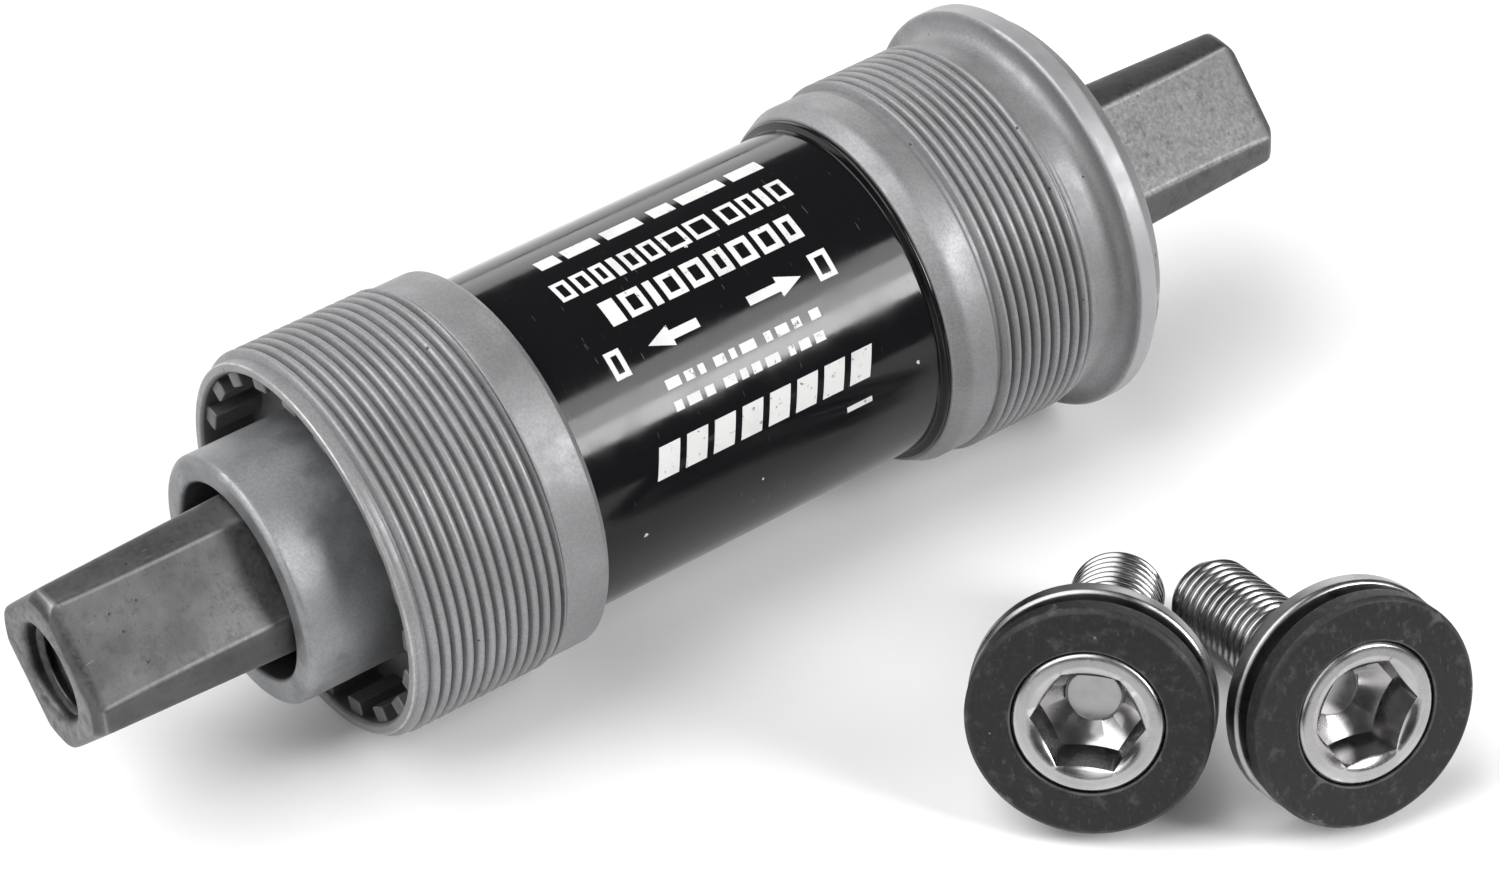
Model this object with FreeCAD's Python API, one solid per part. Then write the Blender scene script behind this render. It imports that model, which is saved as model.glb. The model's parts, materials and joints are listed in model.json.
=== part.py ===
"""Square-taper cartridge bottom bracket for a threaded bicycle frame shell, with its two crank bolts.

+Y runs along the axle towards the left-hand crank, -Y to the drive side, +X forwards and +Z up.
The origin is on the axle's axis, at the middle of the frame shell. Lengths are in millimetres.
Everything turned is drawn as half an outline of (y, r) points and revolved about the Y axis.
"""
import FreeCAD, Part
import math
import os

# ---- driving dimensions ----
shell_width = 73.0            # frame shell, from the drive cup's flange to the left cup's outer face
axle_length = 122.0
axle_shift = -0.8             # middle of the axle, measured from the middle of the shell
axle_d = 17.0                 # round middle of the axle
square_af = 12.7              # across the flats at the axle's ends
taper_deg = 2.0               # slope of each flat
axle_clock_deg = 46.5         # flats are turned this far from +Z towards -X
thread_d = 34.5               # 1.37 in frame thread, outside
thread_pitch = 25.4 / 24
thread_depth = 0.62
groove_mouth_share = 0.78     # of the pitch
groove_root_share = 0.10
cup_wall = 1.48               # below the thread, around the tube
tube_wall = 1.15
race_wall = 1.0               # least thickness of each bearing ring
bearing_width = 7.0
flange_d = 37.7
flange_thickness = 2.1
bolt_length = 26.5
bolt_thread_d = 8.0
bolt_thread_pitch = 1.0
bolt_thread_depth = 0.54
bolt_head_d = 12.3
bolt_flange_d = 20.2
bolt_flange_thickness = 1.8
bolt_hex_af = 8.0
ring_thickness = 3.1

# ---- named clearances ----
press_gap = 0.01              # pressed and screwed seats inside one unit
slip_gap = 0.08               # parts that slide or turn on each other
seal_gap = 0.08               # seal lip to axle
ball_gap = 0.03               # ball to raceway
end_gap = 0.2                 # faces that stand off each other end to end
free_gap = 0.3                # moving parts that never touch

# ---- left cup, drive cup and their splined sockets ----
left_cup_length = 19.1
left_thread_length = 13.2
mouth_chamfer = 1.3
mouth_land_drop = 0.7         # outer edge of the mouth, below the thread's crest
thread_lead = 0.5             # cone up to the first crest
collar_d = 34.0
collar_chamfer = 0.65
socket_depth = 5.0            # left cup
drive_socket_depth = 6.0
socket_wall = 0.98            # between the thread's root and the socket's root
tooth_count = 20
tooth_width = 2.0
tooth_height = 1.35
tooth_recess = 0.5
web_thickness = 2.3
drive_thread_length = 10.0
drive_collar_d = 33.6
drive_lead_length = 4.8       # plain collar before the drive cup's thread
drive_nose_length = 1.5       # cone in front of that collar
drive_nose_d = 32.2
seat_fillet = 1.5
seat_relief = 3.4             # from the last thread to the flange
boss_length = 1.5
boss_d = 34.6
edge_break = 0.25

# ---- cartridge ----
sleeve_stand_out = 6.2        # beyond the left cup's face
sleeve_wall = 2.35
sleeve_clearance = 0.25       # around the axle
shoulder_thickness = 2.0
bead_length = 0.9
bead_height = 0.85
clip_thickness = 1.0
clip_height = 1.4             # above the axle
clip_groove_depth = 0.5
clip_opening_deg = 40.0
clip_from_race = 0.05
seal_from_clip = 0.6          # left side
seal_thickness = 2.0
seal_lip_share = 0.3          # of the drive cup's web, from its bore to the teeth
spacer_wall = 1.3
shield_thickness = 0.5
shield_recess = 0.4
shield_step = 0.1
cage_share = 0.45             # of the space between the two rings' shoulders
cage_rim = 0.45
ball_spacing = 1.8            # pitch of the balls, in ball diameters
shoulder_share = 0.65         # how far the ring shoulders come up the balls

# ---- axle ends ----
corner_depth = 0.6            # turned off the square's corners
end_chamfer = 0.8
tapped_depth = 25.0
drill_point_deg = 118.0
countersink_d = 9.4
flat_end_gap = 2.0            # from each seal to where the flats start

# ---- crank bolts ----
hex_depth = 3.9
hex_chamfer_d = 9.1
hex_floor_deg = 105.0
hex_pip_d = 5.0
hex_pip_height = 0.3
head_edge = 0.3
ring_edge = 0.35
ring_gap = 0.3                # ring to flange
ring_inset = 0.15             # ring's outside, inside the flange's
shank_neck_depth = 0.1
# Plan view of the loose bolts on the surface they lie on, with each thread's heading from +X.
drive_bolt_x = -62.8          # middle of its head
drive_bolt_y = -23.1
drive_bolt_heading = -11.2
left_bolt_heading = -45.9
bolt_tip_gap = 0.45           # the left bolt's thread lies beside the drive bolt's tip
bolt_tip_lag = 0.22           # that tip, behind the left bolt's own tip

# ---- derived sizes ----
axis_y = FreeCAD.Vector(0, 1, 0)
origin = FreeCAD.Vector(0, 0, 0)
left_face = shell_width / 2
seat_face = -shell_width / 2
axle_r = axle_d / 2
axle_left = axle_shift + axle_length / 2
axle_right = axle_shift - axle_length / 2
thread_r = thread_d / 2
thread_root_r = thread_r - thread_depth
tube_r = thread_root_r - cup_wall
tube_bore_r = tube_r - tube_wall
socket_root_r = thread_root_r - socket_wall
socket_tip_r = socket_root_r - tooth_height
boss_face = seat_face - flange_thickness - boss_length
web_outer = boss_face + drive_socket_depth
web_inner = web_outer + web_thickness
nose_face = seat_face + seat_relief + drive_thread_length + drive_lead_length
left_web_outer = left_face - socket_depth
left_web_inner = left_web_outer - web_thickness
tube_left = left_web_inner - end_gap
tube_right = web_inner + end_gap
pitch_r = (axle_r + tube_bore_r) / 2
ball_r = (tube_bore_r - axle_r) / 2 - race_wall - ball_gap
ball_count = int(2 * math.pi * pitch_r / (2 * ball_r * ball_spacing))
left_bearing = tube_left - shoulder_thickness - bearing_width / 2
drive_bearing = web_inner + bearing_width / 2
sleeve_bore_r = axle_r + sleeve_clearance
sleeve_r = sleeve_bore_r + sleeve_wall
clip_r = axle_r + clip_height
pocket_r = clip_r + slip_gap + free_gap
left_clip_face = left_bearing + bearing_width / 2 + clip_from_race
drive_clip_face = drive_bearing - bearing_width / 2 - clip_from_race
left_seal_inner = left_clip_face + clip_thickness + seal_from_clip
left_seal_outer = left_seal_inner + seal_thickness
drive_seal_inner = drive_clip_face - clip_thickness - free_gap
drive_seal_outer = drive_seal_inner - seal_thickness
bolt_thread_r = bolt_thread_d / 2
bolt_root_r = bolt_thread_r - bolt_thread_depth
flange_front = ring_thickness + ring_gap
flange_back = flange_front + bolt_flange_thickness
ring_r = bolt_flange_d / 2 - ring_inset
bolt_rest_length = bolt_length - bolt_thread_depth - flange_back + edge_break
bolt_lie = math.atan2(bolt_flange_d / 2 - bolt_thread_r, bolt_rest_length)


def turned(outline):
    """Solid revolved about Y from (y, r) points; (my, mr, y, r) is an arc through (my, mr) to (y, r)."""
    corners = [FreeCAD.Vector(point[-1], point[-2], 0) for point in outline]
    edges = []
    for index, point in enumerate(outline):
        start = corners[index - 1]
        if len(point) == 4:
            middle = FreeCAD.Vector(point[1], point[0], 0)
            edges.append(Part.Arc(start, middle, corners[index]).toShape())
        else:
            edges.append(Part.LineSegment(start, corners[index]).toShape())
    return Part.Face(Part.Wire(edges)).revolve(origin, axis_y, 360)


def ring(y_from, y_to, inner_r, outer_r):
    return turned([(y_from, inner_r), (y_to, inner_r), (y_to, outer_r), (y_from, outer_r)])


def thread_points(y_from, y_to, crest_r, depth, pitch):
    """V grooves between two stations, in the order that the stations are given."""
    step = math.copysign(pitch, y_to - y_from)
    grooves = int(abs(y_to - y_from) / pitch)
    half_mouth = groove_mouth_share / 2 * step
    half_root = groove_root_share / 2 * step
    first = y_from + (y_to - y_from - (grooves - 1) * step) / 2
    points = []
    for number in range(grooves):
        middle = first + number * step
        points.append((middle - half_mouth, crest_r))
        points.append((middle - half_root, crest_r - depth))
        points.append((middle + half_root, crest_r - depth))
        points.append((middle + half_mouth, crest_r))
    return points


def about_y(shape, angle):
    copy = shape.copy()
    copy.rotate(origin, axis_y, angle)
    return copy


def spline_slots(y_from, y_to):
    """The spaces between the teeth of a cup's tool socket."""
    pitch_deg = 360 / tooth_count
    blank = ring(y_from, y_to, socket_tip_r - 1, socket_root_r)
    width = 2 * math.pi * socket_tip_r / tooth_count - tooth_width
    bar = Part.makeBox(width, y_to - y_from, socket_root_r, FreeCAD.Vector(-width / 2, y_from, 0))
    bars = [about_y(bar, number * pitch_deg) for number in range(tooth_count)]
    return blank.common(Part.makeCompound(bars))


def make_left_cup():
    thread_start = left_face - mouth_chamfer
    thread_end = left_face - mouth_chamfer - left_thread_length
    right_end = left_face - left_cup_length
    web_bore_r = sleeve_r + free_gap
    outline = [(left_face, socket_root_r + edge_break), (left_face, thread_r - mouth_land_drop)]
    outline += [(thread_start + thread_lead, thread_r)]
    outline += thread_points(thread_start, thread_end, thread_r, thread_depth, thread_pitch)
    outline += [(thread_end, thread_r), (thread_end, collar_d / 2)]
    outline += [(right_end + collar_chamfer, collar_d / 2), (right_end, collar_d / 2 - collar_chamfer)]
    outline += [(right_end, tube_r + slip_gap + edge_break)]
    outline += [(right_end + edge_break, tube_r + slip_gap), (left_web_inner, tube_r + slip_gap)]
    outline += [(left_web_inner, web_bore_r), (left_web_outer, web_bore_r), (left_web_outer, socket_tip_r)]
    outline += [(left_face - tooth_recess, socket_tip_r), (left_face - tooth_recess, socket_root_r)]
    outline += [(left_face - edge_break, socket_root_r)]
    return turned(outline).cut(spline_slots(left_web_outer, left_face))


def make_drive_cup():
    flange_r = flange_d / 2
    flange_back_face = seat_face - flange_thickness
    thread_start = nose_face - drive_lead_length
    thread_end = thread_start - drive_thread_length
    fillet_foot = (seat_face + seat_fillet, thread_root_r)
    fillet_top = (seat_face, thread_root_r + seat_fillet)
    turn = seat_fillet * (1 - math.sqrt(0.5))
    outline = [(nose_face, tube_r + press_gap), (nose_face, drive_nose_d / 2)]
    outline += [(nose_face - drive_nose_length, drive_collar_d / 2)]
    outline += [(thread_start + thread_lead, drive_collar_d / 2), (thread_start, thread_r)]
    outline += thread_points(thread_start, thread_end, thread_r, thread_depth, thread_pitch)
    outline += [(thread_end, thread_r), (thread_end - edge_break, thread_root_r), fillet_foot]
    outline += [(seat_face + turn, thread_root_r + turn) + fillet_top]
    outline += [(seat_face, flange_r - edge_break), (seat_face - edge_break, flange_r)]
    outline += [(flange_back_face + edge_break, flange_r), (flange_back_face, flange_r - edge_break)]
    outline += [(flange_back_face, boss_d / 2 + boss_length / 2), (boss_face, boss_d / 2)]
    outline += [(boss_face, socket_root_r), (boss_face + tooth_recess, socket_root_r)]
    outline += [(boss_face + tooth_recess, socket_tip_r), (web_outer, socket_tip_r)]
    outline += [(web_outer, pocket_r), (web_inner, pocket_r), (web_inner, tube_r + press_gap)]
    return turned(outline).cut(spline_slots(boss_face, web_outer))


def make_tube():
    bead_r = tube_r + bead_height
    outline = [(tube_left, tube_bore_r), (tube_left, tube_r - edge_break)]
    outline += [(tube_left - edge_break, tube_r), (nose_face + bead_length, tube_r)]
    outline += [(nose_face + bead_length - edge_break, bead_r), (nose_face, bead_r), (nose_face, tube_r)]
    outline += [(tube_right, tube_r), (tube_right, tube_bore_r)]
    return turned(outline)


def make_left_sleeve():
    mouth = left_face + sleeve_stand_out
    shoulder_inner = tube_left - shoulder_thickness
    outline = [(mouth, sleeve_bore_r + edge_break), (mouth, sleeve_r - edge_break * 2)]
    outline += [(mouth - edge_break * 2, sleeve_r), (tube_left, sleeve_r)]
    outline += [(tube_left, tube_bore_r - press_gap), (shoulder_inner, tube_bore_r - press_gap)]
    outline += [(shoulder_inner, pocket_r), (left_seal_outer, pocket_r), (left_seal_outer, sleeve_bore_r)]
    outline += [(mouth - edge_break, sleeve_bore_r)]
    return turned(outline)


def make_seals():
    """Lip seals: a plain one in the sleeve's pocket, and one that laps over the drive cup's web."""
    lip_r = axle_r + seal_gap
    body_r = pocket_r - press_gap
    left = ring(left_seal_inner, left_seal_outer, lip_r, body_r)
    outline = [(drive_seal_inner, lip_r), (drive_seal_inner, body_r), (web_outer - press_gap, body_r)]
    outline += [(web_outer - press_gap, body_r + (socket_tip_r - body_r) * seal_lip_share)]
    outline += [(drive_seal_outer, body_r), (drive_seal_outer, lip_r)]
    return {"left_seal": left, "drive_seal": turned(outline)}


def make_bearing(side, middle):
    """One deep-groove bearing: two rings, balls, cage and two shields, centred on y = middle."""
    half = bearing_width / 2
    inner_ring_r = pitch_r - ball_r * shoulder_share
    outer_ring_r = pitch_r + ball_r * shoulder_share
    shield_r = outer_ring_r + shield_recess
    shield_y = half - shield_step - shield_thickness
    centre = FreeCAD.Vector(0, middle, 0)
    raceway = Part.makeTorus(pitch_r, ball_r + ball_gap, centre, axis_y)
    recess = [(-half, shield_r), (-shield_y, shield_r), (-shield_y, outer_ring_r)]
    recess += [(shield_y, outer_ring_r), (shield_y, shield_r), (half, shield_r)]
    outer = [(middle + y, r) for y, r in recess]
    outer += [(middle + half, tube_bore_r - press_gap), (middle - half, tube_bore_r - press_gap)]
    inner = ring(middle - half, middle + half, axle_r + press_gap, inner_ring_r)
    spots = []
    for number in range(ball_count):
        angle = 2 * math.pi * number / ball_count
        spots.append(FreeCAD.Vector(pitch_r * math.sin(angle), middle, pitch_r * math.cos(angle)))
    balls = Part.makeCompound([Part.makeSphere(ball_r, spot) for spot in spots])
    pockets = [Part.makeCylinder(ball_r + slip_gap, 2 * pitch_r, centre, spot - centre) for spot in spots]
    cage_half = ball_r + slip_gap + cage_rim
    cage_wall = (outer_ring_r - inner_ring_r) * cage_share
    cage = ring(middle - cage_half, middle + cage_half, pitch_r - cage_wall / 2, pitch_r + cage_wall / 2)
    pieces = {
        "outer_race": turned(outer).cut(raceway),
        "inner_race": inner.cut(raceway),
        "balls": balls,
        "cage": cage.cut(pockets),
    }
    for name, low in (("outboard_shield", shield_y), ("inboard_shield", -shield_y - shield_thickness)):
        low_y = low if side == "left" else -low - shield_thickness
        pieces[name] = ring(middle + low_y, middle + low_y + shield_thickness,
                            inner_ring_r + free_gap, shield_r - press_gap)
    return {f"{side}_bearing_{name}": shape for name, shape in pieces.items()}


def make_clip(face, direction):
    """Snap ring in the axle's groove, open at the bottom."""
    groove_r = axle_r - clip_groove_depth
    y_from, y_to = sorted((face, face + direction * clip_thickness))
    blank = ring(y_from, y_to, groove_r + press_gap, clip_r)
    half_width = clip_r * math.tan(math.radians(clip_opening_deg / 2))
    mouth = Part.makePolygon([FreeCAD.Vector(0, y_from, 0), FreeCAD.Vector(half_width, y_from, -clip_r),
                              FreeCAD.Vector(-half_width, y_from, -clip_r), FreeCAD.Vector(0, y_from, 0)])
    wedge = Part.Face(mouth).extrude(axis_y * clip_thickness)
    return blank.cut(wedge)


def axle_bore(end, direction):
    """Tapped hole with its drill point and countersink; direction is +1 at the left end."""
    depth = end - direction * tapped_depth
    point = depth - direction * bolt_root_r / math.tan(math.radians(drill_point_deg / 2))
    sink = end - direction * (countersink_d / 2 - bolt_root_r)
    outline = [(end, 0), (end, countersink_d / 2), (sink, bolt_root_r), (depth, bolt_root_r), (point, 0)]
    return turned(outline)


def taper_flats(end, flat_end, direction):
    """The four wedges that leave a square taper on one end of the axle."""
    slope = math.tan(math.radians(taper_deg))
    length = abs(end - flat_end)
    low_z = square_af / 2
    beyond = end + direction
    corners = [(beyond, low_z - slope), (flat_end, low_z + length * slope)]
    corners += [(flat_end, axle_d), (beyond, axle_d)]
    points = [FreeCAD.Vector(-axle_d, y, z) for y, z in corners]
    wedge = Part.Face(Part.makePolygon(points + points[:1])).extrude(FreeCAD.Vector(2 * axle_d, 0, 0))
    return [about_y(wedge, quarter * 90 - axle_clock_deg) for quarter in range(4)]


def make_axle():
    corner_r = axle_r - corner_depth
    groove_r = axle_r - clip_groove_depth
    left_flat = left_seal_outer + flat_end_gap
    right_flat = drive_seal_outer - flat_end_gap
    left_groove_end = left_clip_face + clip_thickness
    drive_groove_end = drive_clip_face - clip_thickness
    outline = [(axle_left, 0), (axle_left, corner_r - end_chamfer), (axle_left - end_chamfer, corner_r)]
    outline += [(left_flat, corner_r), (left_flat - corner_depth, axle_r)]
    outline += [(left_groove_end, axle_r), (left_groove_end, groove_r)]
    outline += [(left_clip_face, groove_r), (left_clip_face, axle_r)]
    outline += [(drive_clip_face, axle_r), (drive_clip_face, groove_r)]
    outline += [(drive_groove_end, groove_r), (drive_groove_end, axle_r)]
    outline += [(right_flat + corner_depth, axle_r), (right_flat, corner_r)]
    outline += [(axle_right + end_chamfer, corner_r), (axle_right, corner_r - end_chamfer), (axle_right, 0)]
    cuts = taper_flats(axle_left, left_flat, 1) + taper_flats(axle_right, right_flat, -1)
    cuts += [axle_bore(axle_left, 1), axle_bore(axle_right, -1)]
    return turned(outline).cut(cuts)


def hexagon(across_flats, y_from, y_to):
    corner_r = across_flats / math.sqrt(3)
    turns = [math.radians(60 * number) for number in range(7)]
    points = [FreeCAD.Vector(corner_r * math.cos(a), y_from, corner_r * math.sin(a)) for a in turns]
    return Part.Face(Part.makePolygon(points)).extrude(axis_y * (y_to - y_from))


def make_bolt():
    """Crank bolt along +Y, with the front of its head at y = 0."""
    head_r = bolt_head_d / 2
    flange_r = bolt_flange_d / 2
    corner_r = bolt_hex_af / math.sqrt(3)
    thread_end = bolt_length - bolt_thread_depth
    outline = [(0, 0), (0, head_r - head_edge), (head_edge, head_r), (flange_front, head_r)]
    outline += [(flange_front, flange_r - edge_break), (flange_front + edge_break, flange_r)]
    outline += [(flange_back - edge_break, flange_r), (flange_back, flange_r - edge_break)]
    outline += [(flange_back, bolt_thread_r - shank_neck_depth)]
    outline += [(flange_back + bolt_thread_pitch, bolt_thread_r - shank_neck_depth)]
    outline += [(flange_back + bolt_thread_pitch, bolt_thread_r)]
    outline += thread_points(flange_back + bolt_thread_pitch, thread_end, bolt_thread_r,
                             bolt_thread_depth, bolt_thread_pitch)
    outline += [(thread_end, bolt_thread_r), (bolt_length, bolt_root_r), (bolt_length, 0)]
    pip_r = hex_pip_d / 2
    bottom = hex_depth + (corner_r - pip_r) / math.tan(math.radians(hex_floor_deg / 2))
    chamfer = turned([(0, 0), (0, hex_chamfer_d / 2), (hex_chamfer_d / 2, 0)])
    floor = turned([(0, 0), (0, head_r), (hex_depth, head_r), (hex_depth, corner_r), (bottom, pip_r),
                    (bottom - hex_pip_height, pip_r), (bottom - hex_pip_height, 0)])
    socket = hexagon(bolt_hex_af, 0, bottom).common(floor)
    return turned(outline).cut(chamfer).cut(socket)


def make_bolt_ring():
    bore_r = bolt_head_d / 2 + slip_gap
    outline = [(0, bore_r), (0, ring_r - ring_edge), (ring_edge, ring_r)]
    outline += [(ring_thickness - ring_edge / 2, ring_r), (ring_thickness, ring_r - ring_edge / 2)]
    outline += [(ring_thickness, bore_r)]
    return turned(outline)


def resting_plane():
    """Placement of the surface under the unit, which touches the left cup's thread and the flange."""
    left_touch = left_face - mouth_chamfer
    flange_touch = seat_face - edge_break
    drop = flange_d / 2 - thread_r
    tilt = math.degrees(math.atan2(drop, left_touch - flange_touch))
    base = FreeCAD.Vector(0, left_touch, -thread_r)
    return FreeCAD.Placement(base, FreeCAD.Rotation(FreeCAD.Vector(1, 0, 0), tilt))


def left_bolt_spot():
    """Plan place of the left bolt's head, so that its thread lies beside the drive bolt's tip."""
    reach = bolt_length * math.cos(bolt_lie)
    drive_turn = math.radians(drive_bolt_heading)
    left_turn = math.radians(left_bolt_heading)
    tip_x = drive_bolt_x + reach * math.cos(drive_turn)
    tip_y = drive_bolt_y + reach * math.sin(drive_turn)
    back = reach - bolt_tip_lag
    aside = 2 * bolt_root_r + bolt_tip_gap
    x = tip_x - back * math.cos(left_turn) - aside * math.sin(left_turn)
    y = tip_y - back * math.sin(left_turn) + aside * math.cos(left_turn)
    return x, y


def bolt_placement(x, y, heading):
    """A bolt lying on its flange and the end of its thread."""
    height = bolt_flange_d / 2 * math.cos(bolt_lie) + (flange_back - edge_break) * math.sin(bolt_lie)
    plane = resting_plane()
    turn = FreeCAD.Rotation(FreeCAD.Vector(0, 0, 1), heading - 90)
    dip = FreeCAD.Rotation(FreeCAD.Vector(1, 0, 0), -math.degrees(bolt_lie))
    spot = FreeCAD.Vector(x, y - plane.Base.y, height)
    return plane.multiply(FreeCAD.Placement(spot, turn.multiply(dip)))


def build():
    """All pieces by name."""
    spacer_r = axle_r + end_gap
    spacer_ends = (drive_bearing + bearing_width / 2, left_bearing - bearing_width / 2)
    pieces = {
        "axle": make_axle(),
        "cartridge_tube": make_tube(),
        "drive_cup": make_drive_cup(),
        "left_cup": make_left_cup(),
        "left_sleeve": make_left_sleeve(),
        "race_spacer": ring(*spacer_ends, spacer_r, spacer_r + spacer_wall),
        "left_axle_clip": make_clip(left_clip_face, 1),
        "drive_axle_clip": make_clip(drive_clip_face, -1),
    }
    pieces.update(make_seals())
    pieces.update(make_bearing("left", left_bearing))
    pieces.update(make_bearing("drive", drive_bearing))
    placements = {
        "left": bolt_placement(*left_bolt_spot(), left_bolt_heading),
        "drive": bolt_placement(drive_bolt_x, drive_bolt_y, drive_bolt_heading),
    }
    for side, placement in placements.items():
        for name, shape in ((f"{side}_crank_bolt", make_bolt()), (f"{side}_bolt_ring", make_bolt_ring())):
            shape.Placement = placement.multiply(shape.Placement)
            pieces[name] = shape
    return pieces


os.makedirs("parts", exist_ok=True)
for node, piece in build().items():
    piece.exportStep(f"parts/{node}.step")
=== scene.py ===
"""Looks for a square-taper cartridge bottom bracket and its two crank bolts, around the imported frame.

Shapes are drawn in millimetres about the row frame: +Y along the axle to the left crank, +Z up.
"""
import json
import math

import bmesh
import bpy
from bpy.props import FloatProperty, FloatVectorProperty, IntProperty, PointerProperty
from mathutils import Euler, Matrix, Vector


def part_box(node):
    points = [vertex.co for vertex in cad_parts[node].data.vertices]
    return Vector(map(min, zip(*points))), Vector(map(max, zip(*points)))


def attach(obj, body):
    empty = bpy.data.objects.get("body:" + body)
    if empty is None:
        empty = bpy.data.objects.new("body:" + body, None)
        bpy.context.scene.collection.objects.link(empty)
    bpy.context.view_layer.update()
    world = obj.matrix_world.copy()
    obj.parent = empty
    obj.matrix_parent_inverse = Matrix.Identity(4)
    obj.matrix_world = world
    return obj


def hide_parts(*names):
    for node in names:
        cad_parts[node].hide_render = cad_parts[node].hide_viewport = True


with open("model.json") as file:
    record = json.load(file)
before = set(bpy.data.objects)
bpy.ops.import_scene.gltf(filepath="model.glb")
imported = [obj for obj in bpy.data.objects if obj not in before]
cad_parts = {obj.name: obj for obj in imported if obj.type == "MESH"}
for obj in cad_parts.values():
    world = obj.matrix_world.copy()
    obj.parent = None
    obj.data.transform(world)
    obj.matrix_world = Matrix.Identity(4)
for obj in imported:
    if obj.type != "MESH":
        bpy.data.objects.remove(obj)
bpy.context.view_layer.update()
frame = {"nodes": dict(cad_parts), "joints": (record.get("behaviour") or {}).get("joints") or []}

bl_info = {
    "name": "Bottom Bracket Builder",
    "version": (1, 0, 0),
    "blender": (4, 5, 0),
    "location": "3D View > Sidebar > Bracket",
    "description": "Builds the detailed pieces and finishes of a cartridge bottom bracket",
    "category": "Add Mesh",
}

MM = 0.001
FULL_TURN = 2 * math.pi


def reach(node):
    """A CAD node's run along the axle and its greatest radius, in mm."""
    low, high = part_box(node)
    return low.y / MM, high.y / MM, high.z / MM


# ---- stations along the axle and radii, in mm ----
LEFT_CUP_END, LEFT_FACE, CREST_R = reach("left_cup")
BOSS_FACE, NOSE_FACE, FLANGE_R = reach("drive_cup")
AXLE_RIGHT, AXLE_LEFT, AXLE_R = reach("axle")
TUBE_RIGHT, TUBE_LEFT, BEAD_R = reach("cartridge_tube")
SLEEVE_INNER, SLEEVE_MOUTH, SHOULDER_R = reach("left_sleeve")
SEAL_OUTER, SEAL_INNER, SEAL_LIP_R = reach("drive_seal")
ROOT_R = CREST_R - 0.62
TUBE_R = BEAD_R - 0.85
TUBE_BORE_R = TUBE_R - 1.15
SOCKET_ROOT_R = ROOT_R - 0.98
SOCKET_TIP_R = SOCKET_ROOT_R - 1.35
TOOTH_WIDTH = 2.0
TOOTH_COUNT = 20
TOOTH_RECESS = 0.5
SOCKET_DEPTH = 6.0
WEB_THICKNESS = 2.3
COLLAR_R = 17.0
COLLAR_EDGE = 22.0
NOSE_R = 16.8
DRIVE_THREAD_END = -22.75
SEAT_FACE = -36.5
FLANGE_THICKNESS = 2.1
SLEEVE_R = 11.1
POCKET_R = 10.28
POCKET_END = 30.65
AXLE_CORNER_R = 7.9
SQUARE_HALF = 6.35
TAPER = math.tan(math.radians(2))
AXLE_CLOCK = math.radians(46.5)
LEFT_TAPER_ROOT = 32.0
DRIVE_TAPER_ROOT = -36.5
CORNER_GROWTH = AXLE_R - AXLE_CORNER_R - 0.02
CLIP_GROOVE_DEPTH = 0.5
TAPPED_R = 3.46
TAPPED_DEPTH = 25.0
COUNTERSINK_R = 4.7

# ---- crank bolt, in mm from the front of its head ----
BOLT_LENGTH = 26.5
BOLT_CREST_R = 4.0
BOLT_ROOT_R = 3.46
BOLT_PITCH = 1.0
BOLT_FLANGE = (3.4, 5.2, 10.1)
BOLT_HEAD_R = 6.15
SHANK_R = 3.9
SHANK_END = 6.2
HEX_FLAT_R = 4.0
HEX_CORNER_R = HEX_FLAT_R / math.cos(math.radians(30))
HEX_DEPTH = 3.9
HEX_FLOOR_SLOPE = 1 / math.tan(math.radians(52.5))
PIP_R = 2.3
PIP_HEIGHT = 0.3
RING_R = 9.95
RING_THICKNESS = 3.1

# ---- the surface that everything rests on ----
REST_RUN = 35.2
FLOOR_POINT = Vector((0, REST_RUN, -17.25)) * MM
FLOOR_TILT = math.atan2(FLANGE_R - CREST_R, REST_RUN - SEAT_FACE + 0.25)
FLOOR_NORMAL = Vector((0, -math.sin(FLOOR_TILT), math.cos(FLOOR_TILT)))
SHEET_HALF = 2.0
SHEET_FRONT = 0.135

# ---- lights and camera, in metres and degrees ----
KEY_HEADING = (-0.843, -0.538)
KEY_BOXES = (("low", 23.5, 0.54), ("middle", 34.0, 0.31), ("high", 44.5, 0.15))
SOFTBOXES = (  # name, direction, distance, width, height, the setting of its power
    ("top_softbox", (0.25, 0.45, 0.85), 0.90, 1.0, 1.0, "top_power"),
    ("fill_softbox", (-0.25, 0.80, 0.55), 0.80, 0.60, 0.60, "fill_power"),
    ("back_card", (0.88, -0.42, 0.19), 0.70, 1.2, 0.26, "back_power"),
)
CAMERA_PLACE = Vector((-252.219, 162.936, 239.347)) * MM
CAMERA_TURN = (50.4311, 2.4244, -126.1508)


# ------------------------------------------------------------------ settings
class ThreadSettings(bpy.types.PropertyGroup):
    """Threads and turned edges."""

    pitch: FloatProperty(name="Frame Thread Pitch", default=25.4 / 24 * MM, unit="LENGTH",
                         precision=5, description="Distance between the crests of the cups' thread")
    turn_steps: IntProperty(name="Turned Steps", default=160, min=24,
                            description="Facets round each turned piece")
    thread_steps: IntProperty(name="Thread Steps", default=112, min=16,
                              description="Facets in each turn of a frame thread")
    edge_ease: FloatProperty(name="Edge Rounding", default=0.12 * MM, unit="LENGTH",
                             precision=5, description="Rounding of the machined edges")


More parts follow.
